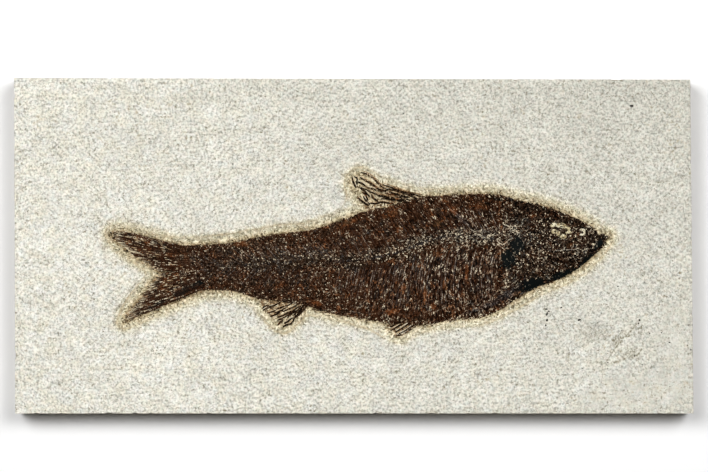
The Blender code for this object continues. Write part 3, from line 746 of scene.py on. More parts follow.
def skull_relief(x, y):
    """Heights that the skull adds: gill cover, cheek, eye ring, jaw and snout."""
    eye = np.hypot(x - EYE_PLACE[0], (y - EYE_PLACE[1]) * 1.1)
    gill_edge = 39.0 + 5.2 * ((y + 3.0) / 11) ** 2
    cover = step_up(x, gill_edge - 0.5, gill_edge + 0.2)
    cheek_edge = 47.2 + 2.0 * ((y + 2.0) / 8) ** 2
    lower = -0.52 * (63 - x)
    below_cover = step_up(y, lower - 1.4, lower - 0.5)
    mouth = y - (2.2 - 0.62 * (61.5 - x))
    relief = 0.3 * cover * (0.35 + 0.65 * below_cover)
    relief = relief + 0.2 * bump(x - cheek_edge, 0.9) * cover
    relief = relief - 0.3 * (1 - step_up(eye, 1.9, 2.6)) + 0.22 * bump(eye - 3.3, 0.7)
    relief = relief - 0.35 * bump(mouth, 0.5) * step_up(x, 53, 55)
    relief = relief + 0.12 * bump(y - (3.4 + 0.42 * (60.5 - x)), 0.5) * step_up(x, 44, 46)
    return relief


def body_height(x, y):
    """The body's surface with its broad relief, at any place (millimetres)."""
    belly, back = belly_at(x), back_at(x)
    share = np.clip((y - belly) / np.maximum(back - belly, 0.01), 0, 1)
    inland = np.minimum(1, np.minimum(7 * share, 7 * (1 - share)))
    trunk = 1 - step_up(x, SKULL_BACK - 1, SKULL_BACK + 1.5)
    thinning = step_up(x, TAIL_END_OF_BODY, TAIL_END_OF_BODY + 16)
    on_column = bump(y - column_at(x), 1.5)
    height = crown_at(x, share) + trunk * thinning * 0.16 * on_column
    return height + skull_relief(x, y) * inland * (1 - trunk)


def rib_sweep(above, x):
    """How far towards the tail a rib or spine has swept, at a share of its way out."""
    turns_at = 1.1 - 0.52 * step_up(x, 10, 28)
    rib = 2.7 * (1 - (1 - np.abs(above) / turns_at) ** 2)
    return np.where(above >= 0, 6.0 * above, rib)


def share_above(x, y):
    """From 0 on the backbone to 1 on the back's edge, or -1 on the belly's."""
    column = column_at(x)
    room = np.where(y > column, back_at(x) - column, column - belly_at(x))
    return (y - column) / np.maximum(room, 0.1)


def in_patch(x, y, middle_x, middle_y, long, wide, degrees):
    """How far each point lies inside a ragged oval patch, 0 to 1."""
    turn = math.radians(degrees)
    u = (x - middle_x) * math.cos(turn) + (y - middle_y) * math.sin(turn)
    v = (y - middle_y) * math.cos(turn) - (x - middle_x) * math.sin(turn)
    wobble = 0.15 * np.sin(3.1 * x + 1.7 * y) + 0.15 * np.sin(5.3 * y - 4.1 * x)
    wobble = wobble + 0.1 * np.sin(9 * x + 7 * y)
    return 1 - step_up(np.hypot(u / long, v / wide) + wobble, 0.7, 1.05)


def black_patches(x, y):
    return np.max([in_patch(x, y, *patch) for patch in BLACK_PATCHES], axis=0)


def all_patches(x, y, patches):
    """The sum of what the patches add at each point."""
    return sum(patch[-1] * in_patch(x, y, *patch[:-1]) for patch in patches)


def make_body(material):
    body = add_grid("fish_body", BODY_COLUMNS, BODY_ROWS)
    unit = places(body) + (0.5, 0.5, 0)
    x = TAIL_END_OF_BODY + (SNOUT_TIP - 0.05 - TAIL_END_OF_BODY) * unit[:, 0]
    belly, back = margins(x)
    y = belly + (back - belly) * unit[:, 1]
    points = np.column_stack((x, y, np.zeros_like(x)))
    edge = np.minimum(1, 9 * np.minimum(unit[:, 1], 1 - unit[:, 1]))
    trunk = 1 - step_up(x, SKULL_BACK - 2, SKULL_BACK)
    swept = x + rib_sweep(share_above(x, y), x)
    strokes = np.column_stack((swept, y * 0.22, y * 0))
    lumps = 0.10 * rough(points, 1.4, 31) + 0.13 * rough(points, 0.62, 32)
    z = body_height(x, y) + edge * lumps * (1 - 0.85 * black_patches(x, y))
    points[:, 2] = z + edge * trunk * 0.12 * rough(strokes, 0.55, 33)
    put_places(body, press_flat(points + FISH_SHIFT))
    sink_rim(body, RING_FLOOR - 0.45)
    smooth(body)
    dress_bone(body, material, first=True)


def seen_from_above(obj):
    """The x and y of a piece's points, in the fish's own drawing."""
    return (places(obj) - FISH_SHIFT).T[:2]


def dress_bone(obj, material, first=False):
    """Says how much of each region's colouring a point takes, and hangs the bone on the slab."""
    x, y = seen_from_above(obj)
    backbone = bump(y - column_at(x) - 0.3, 3.2) * (1 - step_up(x, 37, 40)) * step_up(x, -40, -24)
    skull = step_up(x, 37.5, 40.5)
    above = share_above(x, y)
    trunk = 1 - step_up(x, SKULL_BACK - 3, SKULL_BACK)
    rib_cage = step_up(-above, 0.02, 0.2) * step_up(x, -6, 6) * trunk
    over_ribs = step_up(above, 0.05, 0.3) * step_up(x, -12, 4) * trunk
    paler = 0.6 * backbone * (0.35 + 0.65 * step_up(x, -5, 20)) - 0.7 * skull
    peduncle = 1 - step_up(x, -22, -8)
    give_attribute(obj, "paler", paler + all_patches(x, y, SHADE_PATCHES))
    give_attribute(obj, "rusty", all_patches(x, y, RUST_PATCHES))
    give_attribute(obj, "greyer", np.clip(0.8 * backbone + 0.7 * skull + 0.25 * peduncle, 0, 1))
    give_attribute(obj, "streaked", np.clip(rib_cage + 0.7 * over_ribs, 0, 1))
    give_attribute(obj, "swept_x", x + rib_sweep(above, x))
    give_attribute(obj, "glossy_black", black_patches(x, y))
    ride(obj, "fish", material, first)


# ---- rods: ribs, spines and rays --------------------------------------------------------


def model_rod(sides=5, segments=8):
    """One straight bone, 1 long and 1 in radius."""
    rest_hands()
    bpy.ops.mesh.primitive_cylinder_add(vertices=sides, radius=1, depth=1, end_fill_type="NGON")
    rod = just_added("rod")
    with editing(rod):
        cut_across([cut / segments - 0.5 for cut in range(1, segments)])
    return rod


def lay_rods(rod, name, paths, radii, taper, chances):
    """Copies of the rod, each laid along its own path of points (millimetres), in one mesh."""
    shape, faces = shape_of(rod)
    across, up, share = (shape * MM).T
    share = share + 0.5
    copies = []
    for path, radius in zip(paths, radii):
        at = along(path, share)
        ahead = along(path, np.minimum(share + 0.02, 1)) - along(path, np.maximum(share - 0.02, 0))
        ahead /= np.linalg.norm(ahead, axis=1)[:, None]
        side = np.column_stack((-ahead[:, 1], ahead[:, 0], np.zeros(len(at))))
        side /= np.linalg.norm(side, axis=1)[:, None]
        lift = np.cross(ahead, side)
        girth = radius * (1 - taper * np.abs(2 * share - 1) ** 2)
        copies.append(at + side * (across * girth)[:, None] - lift * (up * girth)[:, None])
    return lay_copies(name, copies, faces, chances)


def lay_bent_rods(name, paths, dice, thin, thick, sides=5, segments=8, taper=0.5):
    """A rod for every path, each with a radius and a chance of its own."""
    radii = [dice.uniform(thin, thick) for _ in paths]
    chances = [dice.random() for _ in paths]
    rods = lay_rods(model_rod(sides, segments), name, paths, radii, taper, chances)
    smooth(rods)
    return rods


def on_body(x, y, lift):
    """Points at these places, lifted off the body's surface, in the slab's own place."""
    return np.column_stack((x, y, body_height(x, y) + lift)) + FISH_SHIFT


def on_stone(line, lift):
    """Points along a drawn line, lifted off the ring's floor, in the slab's own place."""
    height = np.broadcast_to(RING_FLOOR + lift, len(line))
    return np.column_stack((line, height)) + FISH_SHIFT


def shaken(line, reach, dice):
    """A drawn line, each of its points moved a little both ways."""
    return line + [(dice.uniform(-reach, reach), dice.uniform(-reach, reach)) for _ in line]


def rib_paths(dice):
    """Ribs from the backbone down, each broken into two or three lengths."""
    paths = []
    for k in range(RIBS):
        root = 37.5 - k * RIB_PITCH
        start = 0.08 + dice.uniform(0, 0.1)
        end = 0.95 - 0.35 * (k / RIBS) ** 1.5 - dice.uniform(0, 0.12)
        shift = dice.uniform(-0.3, 0.3)
        while start < end - 0.15:
            stop = min(end, start + dice.uniform(0.25, 0.6))
            above = -np.linspace(start, stop, 9)
            x = root - rib_sweep(above, root) + shift
            y = column_at(x) + above * (column_at(x) - belly_at(x))
            lift = 0.07 + dice.uniform(-0.03, 0.08) - 0.08 * np.abs(above) ** 2
            paths.append(on_body(x, y, lift))
            start = stop + dice.uniform(0.0, 0.08)
            shift += dice.uniform(-0.25, 0.25)
    return paths


def spine_paths(dice):
    """Spines above the backbone, others below it behind the ribs, and the bones of the nape."""
    paths = []
    for k in range(SPINES):
        root = SKULL_BACK - k * VERTEBRA_PITCH * 0.72
        for side in (1, -1):
            if side < 0 and root > -5:
                continue
            reach = 0.75 - 0.25 * dice.random()
            above = side * np.linspace(0.1, reach, 7)
            x = root - 6.0 * np.abs(above) * dice.uniform(0.95, 1.2)
            edge = back_at(x) if side > 0 else belly_at(x)
            y = column_at(x) + np.abs(above) * (edge - column_at(x))
            paths.append(on_body(x, y, 0.05 + dice.uniform(-0.03, 0.06)))
    for k in range(NAPE_BONES):
        x = 22.6 + 0.48 * k + np.linspace(0, 4.2 - 0.12 * k, 5)
        y = 10.4 - 0.45 * k - np.linspace(0, 2.5, 5)
        paths.append(on_body(x, y, 0.1))
    return paths


def pectoral_paths(dice):
    """The long rays of the fin behind the throat, pressed against the belly."""
    paths = []
    for share in np.linspace(0, 1, PECTORAL_RAYS):
        start = np.array((42.5 - 0.8 * share, -8.8 - 2.8 * share))
        end = np.array((27.0 + 5.5 * share, -17.2 + 1.2 * share + dice.uniform(-0.2, 0.2)))
        bow = np.array((0.0, -1.3 + 1.3 * share))
        t = np.linspace(0, 1, 8)[:, None]
        path = start + (end - start) * t + bow * 2 * t * (1 - t)
        path[:, 1] += [dice.uniform(-0.12, 0.12) for _ in t]
        y = np.maximum(path[:, 1], belly_at(path[:, 0]) + 0.3)
        paths.append(on_body(path[:, 0], y, 0.06 + 0.08 * dice.random()))
    return paths


def make_bones(material):
    dice = random.Random(41)
    dress_bone(lay_bent_rods("ribs", rib_paths(dice), dice, 0.11, 0.17, segments=7), material)
    dress_bone(lay_bent_rods("spines", spine_paths(dice), dice, 0.11, 0.17, segments=6), material)
    dress_bone(lay_bent_rods("pectoral_rays", pectoral_paths(dice), dice, 0.13, 0.19), material)


def make_seams(material):
    """Thin pale seams between the skull's bones."""
    dice = random.Random(42)
    paths = []
    for seam in SKULL_SEAMS:
        x, y = shaken(along(seam, np.linspace(0, 1, 9)), 0.1, dice).T
        paths.append(on_body(x, y, 0.12))
    dress_bone(lay_bent_rods("skull_seams", paths, dice, 0.13, 0.19), material)


def model_vertebra():
    """One spool lying on end, narrower at its waist."""
    rest_hands()
    half = VERTEBRA_LENGTH / 2
    bpy.ops.mesh.primitive_cylinder_add(
        vertices=8, radius=VERTEBRA_RADIUS * MM, depth=VERTEBRA_LENGTH * MM, end_fill_type="NGON"
    )
    spool = just_added("vertebra")
    with editing(spool):
        cut_across((-0.5 * MM, 0.0, 0.5 * MM))
    shape = places(spool)
    shape[:, :2] *= 0.68 + 0.32 * (np.abs(shape[:, 2:]) / half) ** 1.5
    put_places(spool, shape)
    return spool


def make_backbone(material):
    """The row of spool-shaped vertebrae, half sunk in the body."""
    shape, faces = shape_of(model_vertebra())
    dice = random.Random(43)
    copies = []
    for k in range(VERTEBRAE):
        x = 37.2 - k * VERTEBRA_PITCH
        size = (0.75 + 0.25 * step_up(x, -40, 0)) * dice.uniform(0.8, 1.0)
        slope = math.atan2(column_at(x + 1) - column_at(x - 1), 2) + dice.uniform(-0.2, 0.2)
        across, up, ahead = (shape * (size, size * 0.5, 1)).T
        px = x + ahead * math.cos(slope) - across * math.sin(slope)
        py = column_at(x) + ahead * math.sin(slope) + across * math.cos(slope)
        pz = body_height(x, column_at(x)) + up + dice.uniform(-0.25, -0.05)
        copies.append(np.column_stack((px, py, pz)) + FISH_SHIFT)
    backbone = lay_copies("backbone", copies, faces)
    smooth(backbone)
    dress_bone(backbone, material)


# ---- crushed scales, chips and splinters of bone ----------------------------------------


def model_scale():
    """One small horny plate, 1 across, thicker at its middle."""
    rest_hands()
    bpy.ops.mesh.primitive_circle_add(vertices=SCALE_SIDES, radius=0.5, fill_type="NGON")
    scale = just_added("scale")
    with editing(scale):
        bpy.ops.mesh.extrude_region_move(TRANSFORM_OT_translate={"value": (0, 0, 1)})
        bpy.ops.transform.resize(value=(0.66, 0.66, 1))
    return scale


def model_lump(name):
    """One rounded grain, 1 across, cut from a squat ball."""
    rest_hands()
    bpy.ops.mesh.primitive_ico_sphere_add(subdivisions=1, radius=0.5)
    lump = just_added(name)
    with editing(lump):
        bpy.ops.mesh.vertices_smooth(factor=0.3)
    return lump


def scatter_shapes(model, name, x, y, z, long, wide, thick, turn, dice, shift=FISH_SHIFT):
    """Copies of a small shape, each stretched, turned and tipped its own way, in one mesh."""
    shape, faces = shape_of(model)
    across, up, high = (shape * MM).T
    count, corners = len(x), len(shape)
    broken = dice.uniform(0.7, 1.2, (count, SCALE_SIDES))[:, np.arange(corners) % SCALE_SIDES]
    px = across * broken * long[:, None]
    py = up * broken * wide[:, None]
    tip_x, tip_y = dice.normal(0.0, 0.2, (2, count, 1))
    pz = high * thick + px * tip_x + py * tip_y
    cos, sin = np.cos(turn)[:, None], np.sin(turn)[:, None]
    gx, gy = px * cos - py * sin + x[:, None], px * sin + py * cos + y[:, None]
    copies = np.stack((gx, gy, pz + z[:, None]), axis=2) + shift
    return lay_copies(name, copies, faces, dice.random(count))


def strew_scales(name, x, y, smallest, largest, dice, material):
    """Scales at these places, left off the smooth black bone."""
    kept = dice.random(len(x)) > black_patches(x, y) * 1.2
    x, y = x[kept], y[kept]
    size = dice.uniform(smallest, largest, len(x))
    stretch = dice.uniform(0.7, 1.4, len(x))
    z = body_height(x, y) + dice.uniform(-0.07, 0.05, len(x))
    turn = math.pi + dice.normal(0, 1.0, len(x))
    long, wide = size * stretch, size / stretch
    dress_bone(scatter_shapes(model_scale(), name, x, y, z, long, wide, 0.11, turn, dice), material)


def make_scales(material):
    """Rows of crushed scales over the trunk, thinned over the ribs, and chips on the skull."""
    dice = np.random.default_rng(47)
    found = []
    for row, x in enumerate(np.arange(-42.5, 39.5, SCALE_PITCH)):
        y = np.arange(belly_at(x) + 0.25, back_at(x) - 0.15, SCALE_PITCH)
        found.append(np.column_stack((np.full(len(y), x), y + 0.5 * SCALE_PITCH * (row % 2))))
    found = np.vstack(found)
    x, y = (found + dice.normal(0, 0.14, found.shape)).T
    above = share_above(x, y)
    in_ribs = step_up(-above, 0.05, 0.3) * step_up(x, -4, 5) * (1 - step_up(x, 35, 38))
    kept = dice.random(len(x)) > 0.1 + 0.55 * in_ribs
    kept &= (y < back_at(x) - 0.1) & (y > belly_at(x) + 0.15)
    strew_scales("crushed_scales", x[kept], y[kept], 0.45, 0.85, dice, material)

    x = dice.uniform(SKULL_BACK - 1, 62.8, SKULL_CHIPS)
    y = belly_at(x) + (back_at(x) - belly_at(x)) * dice.uniform(0.02, 0.98, len(x))
    eye = np.hypot((x - EYE_PLACE[0]) / 2.9, (y - EYE_PLACE[1]) / 2.0)
    kept = (eye > 1.0) | (dice.random(len(x)) < 0.25)
    strew_scales("skull_chips", x[kept], y[kept], 0.45, 1.05, dice, material)


def make_crumbs(material):
    """Crumbs of bone and pale stone along the margin, on the fish's rim and the ring's floor."""
    dice = np.random.default_rng(59)
    x = dice.uniform(-62, 65, CRUMBS)
    y = dice.uniform(-24, 15, CRUMBS)
    outside = -inside_distance(np.column_stack((x, y)), body_and_tail_outline())
    reach = np.where(outside > 0, 0.24, 0.5)
    kept = (outside > -1.0) & (dice.random(CRUMBS) < 0.8 * np.exp(-np.abs(outside) / reach))
    x, y, outside = x[kept], y[kept], outside[kept]
    size = dice.uniform(0.2, 0.55, len(x))
    stretch = dice.uniform(0.6, 1.6, len(x))
    floor = RING_FLOOR + dice.uniform(-0.02, 0.08, len(x))
    rim = body_height(x, y) + dice.uniform(-0.02, 0.06, len(x))
    z = np.where((outside < 0) & (x > -40), rim, floor + 0.15 * (outside < 0))
    turn = dice.uniform(0, 6, len(x))
    long, wide = size * stretch, size / stretch
    crumbs = scatter_shapes(model_scale(), "margin_crumbs", x, y, z, long, wide, 0.13, turn, dice)
    dress_bone(crumbs, material)


def make_splinters(material):
    """Bright slivers of bone, lying the way the bones of each region lie; their pale colour is partly
    painted glint.
    """
    dice = np.random.default_rng(53)
    paths, radii, chances = [], [], []
    for x, y, wide, high, count, degrees, scatter, palest in SPLINTER_BEDS:
        for _ in range(count):
            here = np.array((x, y)) + dice.uniform(-1, 1, 2) * (wide, high)
            if not belly_at(here[0]) + 0.2 < here[1] < back_at(here[0]) - 0.2:
                continue
            if black_patches(*here) > 0.25 and dice.random() < 0.95:
                continue
            turn = math.radians(degrees + dice.normal(0, scatter))
            half = 0.5 * dice.uniform(0.35, 1.25) * np.array((math.cos(turn), math.sin(turn)))
            bend = dice.normal(0, 0.12, 2)
            line = np.array((here - half, here + bend, here + half))
            paths.append(on_body(*line.T, 0.10 + dice.uniform(-0.02, 0.05)))
            radii.append(dice.uniform(0.07, 0.13))
            chances.append(dice.random() * palest)
    dress_bone(lay_rods(model_rod(4, 2), "splinters", paths, radii, 0.7, chances), material)


# ---- fins -------------------------------------------------------------------------------


def on_lobe(roots, tips, out, across, seed):
    """Places on a lobe of the tail: out from its root, 0 to 1, and across its rays."""
    waver = rough(np.column_stack((out * 5, across * 12, out * 0)), 1.0, seed)
    across = np.clip(across + 0.012 * waver, 0, 1)
    start, end = along(roots, across), along(tips, across)
    return start + (end - start) * out[:, None]


def lobe_rise(out):
    """How far a tail lobe stands off the ring's floor, from its root out to its edge."""
    return 0.40 * (1 - out).clip(0) ** 0.8


def make_lobe(name, roots, tips, seed, material):
    """The thin skin of one tail lobe, which runs out in bare stone at its trailing edge."""
    lobe = add_grid(name, 76, 96)
    unit = places(lobe) + (0.5, 0.5, 0)
    out, across = unit[:, 0], unit[:, 1]
    ragged = np.column_stack((across * 30, across * 0, across * 0))
    reach = out * (0.975 + 0.025 * rough(ragged, 1.3, seed))
    x, y = on_lobe(roots, tips, reach, across, seed).T
    points = np.column_stack((x, y, np.zeros_like(x)))
    grain = np.column_stack((across * 26, out * 5, out * 0))
    z = RING_FLOOR + 0.02 + lobe_rise(out)
    z += 0.10 * rough(grain, 0.55, seed + 1) + 0.07 * rough(points, 0.6, seed + 2)
    points[:, 2] = z - 0.2 * (1 - step_up(np.minimum(across, 1 - across), 0.0, 0.03))
    put_places(lobe, points + FISH_SHIFT)
    paler = 0.9 * step_up(out, 0.5, 0.95) - 0.1
    give_attribute(lobe, "bare", step_up(out + 0.12 * rough(grain, 1.2, seed + 3), 0.84, 1.0))
    give_attribute(lobe, "swept_x", across * 17)
    give_attribute(lobe, "streaked", np.full(len(x), 0.75))
    give_attribute(lobe, "paler", paler + all_patches(x, y, SHADE_PATCHES))
    give_attribute(lobe, "rusty", all_patches(x, y, RUST_PATCHES))
    give_attribute(lobe, "glossy_black", 0.7 * black_patches(x, y))
    sink_rim(lobe, RING_FLOOR - 0.5)
    smooth(lobe)
    ride(lobe, "fish", material)


def lobe_ray_paths(roots, tips, seed, count, dice):
    """Rays that start close together, wander, fork and end at the ragged trailing edge."""
    paths = []
    for k in range(count):
        across = (k + 0.5) / count + dice.uniform(-0.25, 0.25) / count
        start = dice.uniform(0.0, 0.12)
        while start < 0.9:
            stop = min(dice.uniform(0.93, 1.01), start + dice.uniform(0.18, 0.5))
            out = np.linspace(start, stop, 6)
            lane = np.clip(across + 0.25 * np.sin(9 * out + k) / count, 0.01, 0.99)
            line = on_lobe(roots, tips, out, lane, seed)
            line[:, 1] += [dice.uniform(-0.05, 0.05) for _ in out]
            paths.append(on_stone(line, 0.14 + lobe_rise(out) + dice.uniform(-0.04, 0.05)))
            start = stop + dice.uniform(0.01, 0.07)
    return paths


def tail_fleck_paths(dice):
    """Short pale flecks between the tail's rays, most of them near the trailing edge."""
    paths = []
    for _, roots, tips, seed, _ in TAIL_LOBES:
        for _ in range(TAIL_FLECKS):
            start = 1 - 0.85 * dice.random() ** 1.5
            out = start + np.linspace(0, dice.uniform(0.03, 0.09), 3)
            across = np.full(3, dice.uniform(0.03, 0.97))
            paths.append(on_stone(on_lobe(roots, tips, out, across, seed), 0.21 + lobe_rise(out)))
    return paths


def fin_ray_paths(rays, dice):
    """The rays of a small fin, laid on the stone as their points say."""
    paths = []
    for ray in rays:
        root, after = np.array(ray[0]), np.array(ray[1])
        deeper = root - (after - root) * ROOT_REACH / np.linalg.norm(after - root)
        line = shaken(along([deeper, *ray], np.linspace(0, 1, 10)), 0.05, dice)
        paths.append(on_stone(line, 0.10 + 0.16 * np.linspace(1, 0, 10) ** 2))
    return paths


def lay_rays(name, paths, thin, thick, dice, material, sides=5):
    rays = lay_bent_rods(name, paths, dice, thin, thick, sides, 7, 0.45)
    give_attribute(rays, "glossy_black", 0.55 * black_patches(*seen_from_above(rays)))
    ride(rays, "fish", material)


def make_fins(skin, ray, small_fin, ray_edge):
    dice = random.Random(61)
    for side, roots, tips, seed, count in TAIL_LOBES:
        make_lobe("tail_%s_lobe" % side, roots, tips, seed, skin)
        paths = lobe_ray_paths(roots, tips, seed, count, dice)
        lay_rays("tail_%s_rays" % side, paths, 0.09, 0.17, dice, ray)
    lay_rays("tail_flecks", tail_fleck_paths(dice), 0.08, 0.14, dice, ray_edge, 4)
    for name, drawn in (("dorsal", DORSAL_RAYS), ("anal", ANAL_RAYS), ("pelvic", PELVIC_RAYS)):
        rays = fin_ray_paths(drawn, dice)
        lay_rays(name + "_rays", rays, 0.22, 0.31, dice, small_fin)
        # Pale rods offset to the same side of every ray: partly stone showing between the rays, partly a
        # painted highlight along each ray.
        beside = [ray + (dice.uniform(0.1, 0.3), dice.uniform(0.3, 0.45), -0.06) for ray in rays]
        lay_rays(name + "_ray_edges", beside, 0.12, 0.2, dice, ray_edge)


# ---- eye, nostril and scutes ------------------------------------------------------------


def make_eye(material):
    """The lumps of cream stone that fill the eye socket, with dark gaps between them."""
    lumps = []
    for x, y, long, wide, degrees in EYE_LUMPS:
        rest_hands()
        place = (np.array((x, y, body_height(x, y) + 0.16)) + FISH_SHIFT) * MM
        bpy.ops.mesh.primitive_ico_sphere_add(subdivisions=3, radius=1, location=place)
        lump = just_added("eye_lump")
        lump.scale = (long * MM, wide * MM, 0.28 * MM)
        lump.rotation_euler = (0, 0, math.radians(degrees))
        apply_place(lump)
        points = places(lump)
        points += 0.16 * rough(points, 0.55, 81)[:, None] * (1, 1, 0.4)
        put_places(lump, press_flat(points))
        lumps.append(lump)
    eye = join(lumps, "eye_filling")
    smooth(eye)
    ride(eye, "fish", material)


def make_nostril(material):
    """A lumpy ring of cream stone, open on one side, round a dark pit."""
    rest_hands()
    place = (np.append(NOSTRIL, body_height(*NOSTRIL) + 0.2) + FISH_SHIFT) * MM
    wide, thick = 0.66 * MM, 0.3 * MM
    bpy.ops.mesh.primitive_torus_add(
        location=place, major_segments=28, minor_segments=8, major_radius=wide, minor_radius=thick
    )
    ring = just_added("nostril_ring")
    apply_place(ring)
    points = places(ring)
    points += 0.2 * rough(points, 0.45, 83)[:, None] * (1, 1, 0.5)
    middle = np.array(NOSTRIL) + FISH_SHIFT[:2]
    toward_cheek = (middle[0] - points[:, 0]) / np.linalg.norm(points[:, :2] - middle, axis=1)
    points[:, 2] -= 0.7 * step_up(toward_cheek, 0.55, 0.9)
    put_places(ring, press_flat(points))
    smooth(ring)
    ride(ring, "fish", material)


def make_scutes(material):
    """The hooked plates of the keel and the back, the scales of both edges, and the jaw's barbs."""
    dice = random.Random(91)
    paths = []
    for x in np.arange(-9.0, 39.0, 0.95):
        here = x + np.linspace(1.5, -1.2, 5)
        y = belly_at(here) + np.linspace(0.85, -0.4, 5) + dice.uniform(-0.25, 0.15)
        paths.append(on_body(here, y, 0.03))
    for x in np.arange(17.0, 39.0, 0.9):
        here = x + np.linspace(0.9, -0.9, 5)
        y = back_at(here) + np.linspace(-0.9, 0.12, 5) + dice.uniform(-0.08, 0.08)
        paths.append(on_body(here, y, 0.02))
    for x in np.arange(-42.0, -10.0, 1.1):
        for edge, side in ((back_at, 1), (belly_at, -1)):
            here = x + np.linspace(0.7, -0.7, 5)
            y = edge(here) + side * np.linspace(-0.5, 0.02, 5) + dice.uniform(-0.12, 0.12)
            paths.append(on_body(here, y, -0.02))
    paths += [on_stone(np.linspace(start, end, 4), 0.2) for start, end in JAW_BARBS]
    scutes = lay_bent_rods("scutes", paths, dice, 0.15, 0.26, segments=4, taper=0.75)
    dress_bone(scutes, material)


# ---- materials --------------------------------------------------------------------------


class Finish:
    """A Principled material and short ways to add the nodes that feed it."""

    def __init__(self, name, roughness, specular=0.3):
        self.material = bpy.data.materials.new(name)
        self.material.use_nodes = True
        self.tree = self.material.node_tree
        self.shader = self.tree.nodes["Principled BSDF"]
        self.shader.inputs["Roughness"].default_value = roughness
        self.shader.inputs["Specular IOR Level"].default_value = specular
        self.place = self.node("ShaderNodeTexCoord").outputs["Object"]
        self.x, self.y, _ = self.node("ShaderNodeSeparateXYZ", self.place).outputs

    def node(self, kind, *values, **settings):
        """A new node with these settings, and these values or links at its first sockets."""
        node = self.tree.nodes.new(kind)
        for name, value in settings.items():
            setattr(node, name, value)
        for socket, value in zip(node.inputs, values):
            self.feed(socket, value)
        return node

    def feed(self, socket, value):
        if isinstance(value, bpy.types.NodeSocket):
            self.tree.links.new(value, socket)
        else:
            socket.default_value = value

    def noise_node(self, size, detail, roughness=0.5, place=None):
        node = self.node("ShaderNodeTexNoise", place or self.place)
        node.inputs["Scale"].default_value = 1 / (size * MM)
        node.inputs["Detail"].default_value = detail
        node.inputs["Roughness"].default_value = roughness
        return node

    def noise(self, size, detail=2.0, roughness=0.5, place=None):
        """Noise with lumps about `size` millimetres across, from 0 to 1."""
        return self.noise_node(size, detail, roughness, place).outputs["Fac"]

    def swing(self, size, reach, detail=2.0, roughness=0.5):
        """Noise that swings from -reach to reach."""
        return self.span(self.noise(size, detail, roughness), 0.3, 0.7, -reach, reach)

    def cells(self, size, place=None):
        """Cells about `size` millimetres across, each with its own chance from 0 to 1."""
        node = self.node("ShaderNodeTexVoronoi", place or self.place)
        node.inputs["Scale"].default_value = 1 / (size * MM)
        return self.node("ShaderNodeSeparateColor", node.outputs["Color"]).outputs[0]

    def wobbled(self, size, reach, place=None):
        """The place, moved about by noise up to `reach` millimetres."""
        place = place or self.place
        shift = self.noise_node(size, 1.0, place=place).outputs["Color"]
        reaches = (2 * reach * MM,) * 3
        moved = self.node("ShaderNodeVectorMath", shift, reaches, place, operation="MULTIPLY_ADD")
        return moved.outputs[0]

    def swept_place(self, squeeze):
        """A place that runs across the ribs or rays, squeezed along them."""
        across = self.times(self.attribute("swept_x"), MM)
        return self.node("ShaderNodeCombineXYZ", across, self.times(self.y, squeeze)).outputs[0]

    def stretched(self, x, y, z, turn=0.0):
        node = self.node("ShaderNodeMapping", self.place, vector_type="POINT")
        node.inputs["Scale"].default_value = (x, y, z)
        node.inputs["Rotation"].default_value = (0, 0, turn)
        return node.outputs["Vector"]

    def attribute(self, name):
        return self.node("ShaderNodeAttribute", attribute_name=name).outputs["Fac"]

    def span(self, value, low, high, to_low=0.0, to_high=1.0):
        """A value's run from low to high, laid out anew from to_low to to_high."""
        node = self.node("ShaderNodeMapRange", value, low, high, to_low, to_high, clamp=True)
        return node.outputs["Result"]

    def maths(self, operation, first, *others):
        for other in others:
            first = self.node("ShaderNodeMath", first, other, operation=operation).outputs[0]
        return first

    def times(self, *values):
        return self.maths("MULTIPLY", *values)

    def plus(self, *values):
        return self.maths("ADD", *values)

    def blend(self, share, a, b):
        """Runs from value a to value b."""
        return self.mix_of("VALUE", (share, a, b), data_type="FLOAT")

    def mix(self, share, a, b, blend="MIX"):
        """Runs from colour a to colour b."""
        return self.mix_of("RGBA", (share, a, b), data_type="RGBA", blend_type=blend)

    def tinted(self, colour, by):
        return self.mix(1.0, colour, by, "MULTIPLY")

    def mix_of(self, kind, values, **settings):
        node = self.node("ShaderNodeMix", values[0], **settings)
        ends = [socket for socket in node.inputs if socket.type == kind][-2:]
        for socket, value in zip(ends, values[1:]):
            self.feed(socket, value)
        return [socket for socket in node.outputs if socket.type == kind][0]

    def ramp(self, value, stops):
        """Colours at their places from 0 to 1, running evenly from one to the next."""
        node = self.node("ShaderNodeValToRGB", value)
        marks = node.color_ramp.elements
        while len(marks) < len(stops):
            marks.new(0.5)
        for mark, (place, colour) in zip(marks, stops):
            mark.position = place
            mark.color = (*colour, 1.0)
        return node.outputs[0]

    def coloured(self, colour, height, depth, strength=1.0):
        """The finished material: its colour, and a bump from a height and a depth in millimetres."""
        node = self.node("ShaderNodeBump")
        node.inputs["Strength"].default_value = strength
        node.inputs["Distance"].default_value = depth * MM
        self.feed(node.inputs["Height"], height)
        self.feed(self.shader.inputs["Normal"], node.outputs["Normal"])
        self.feed(self.shader.inputs["Base Color"], colour)
        return self.material


def grey(value):
    return (value, value, value, 1.0)


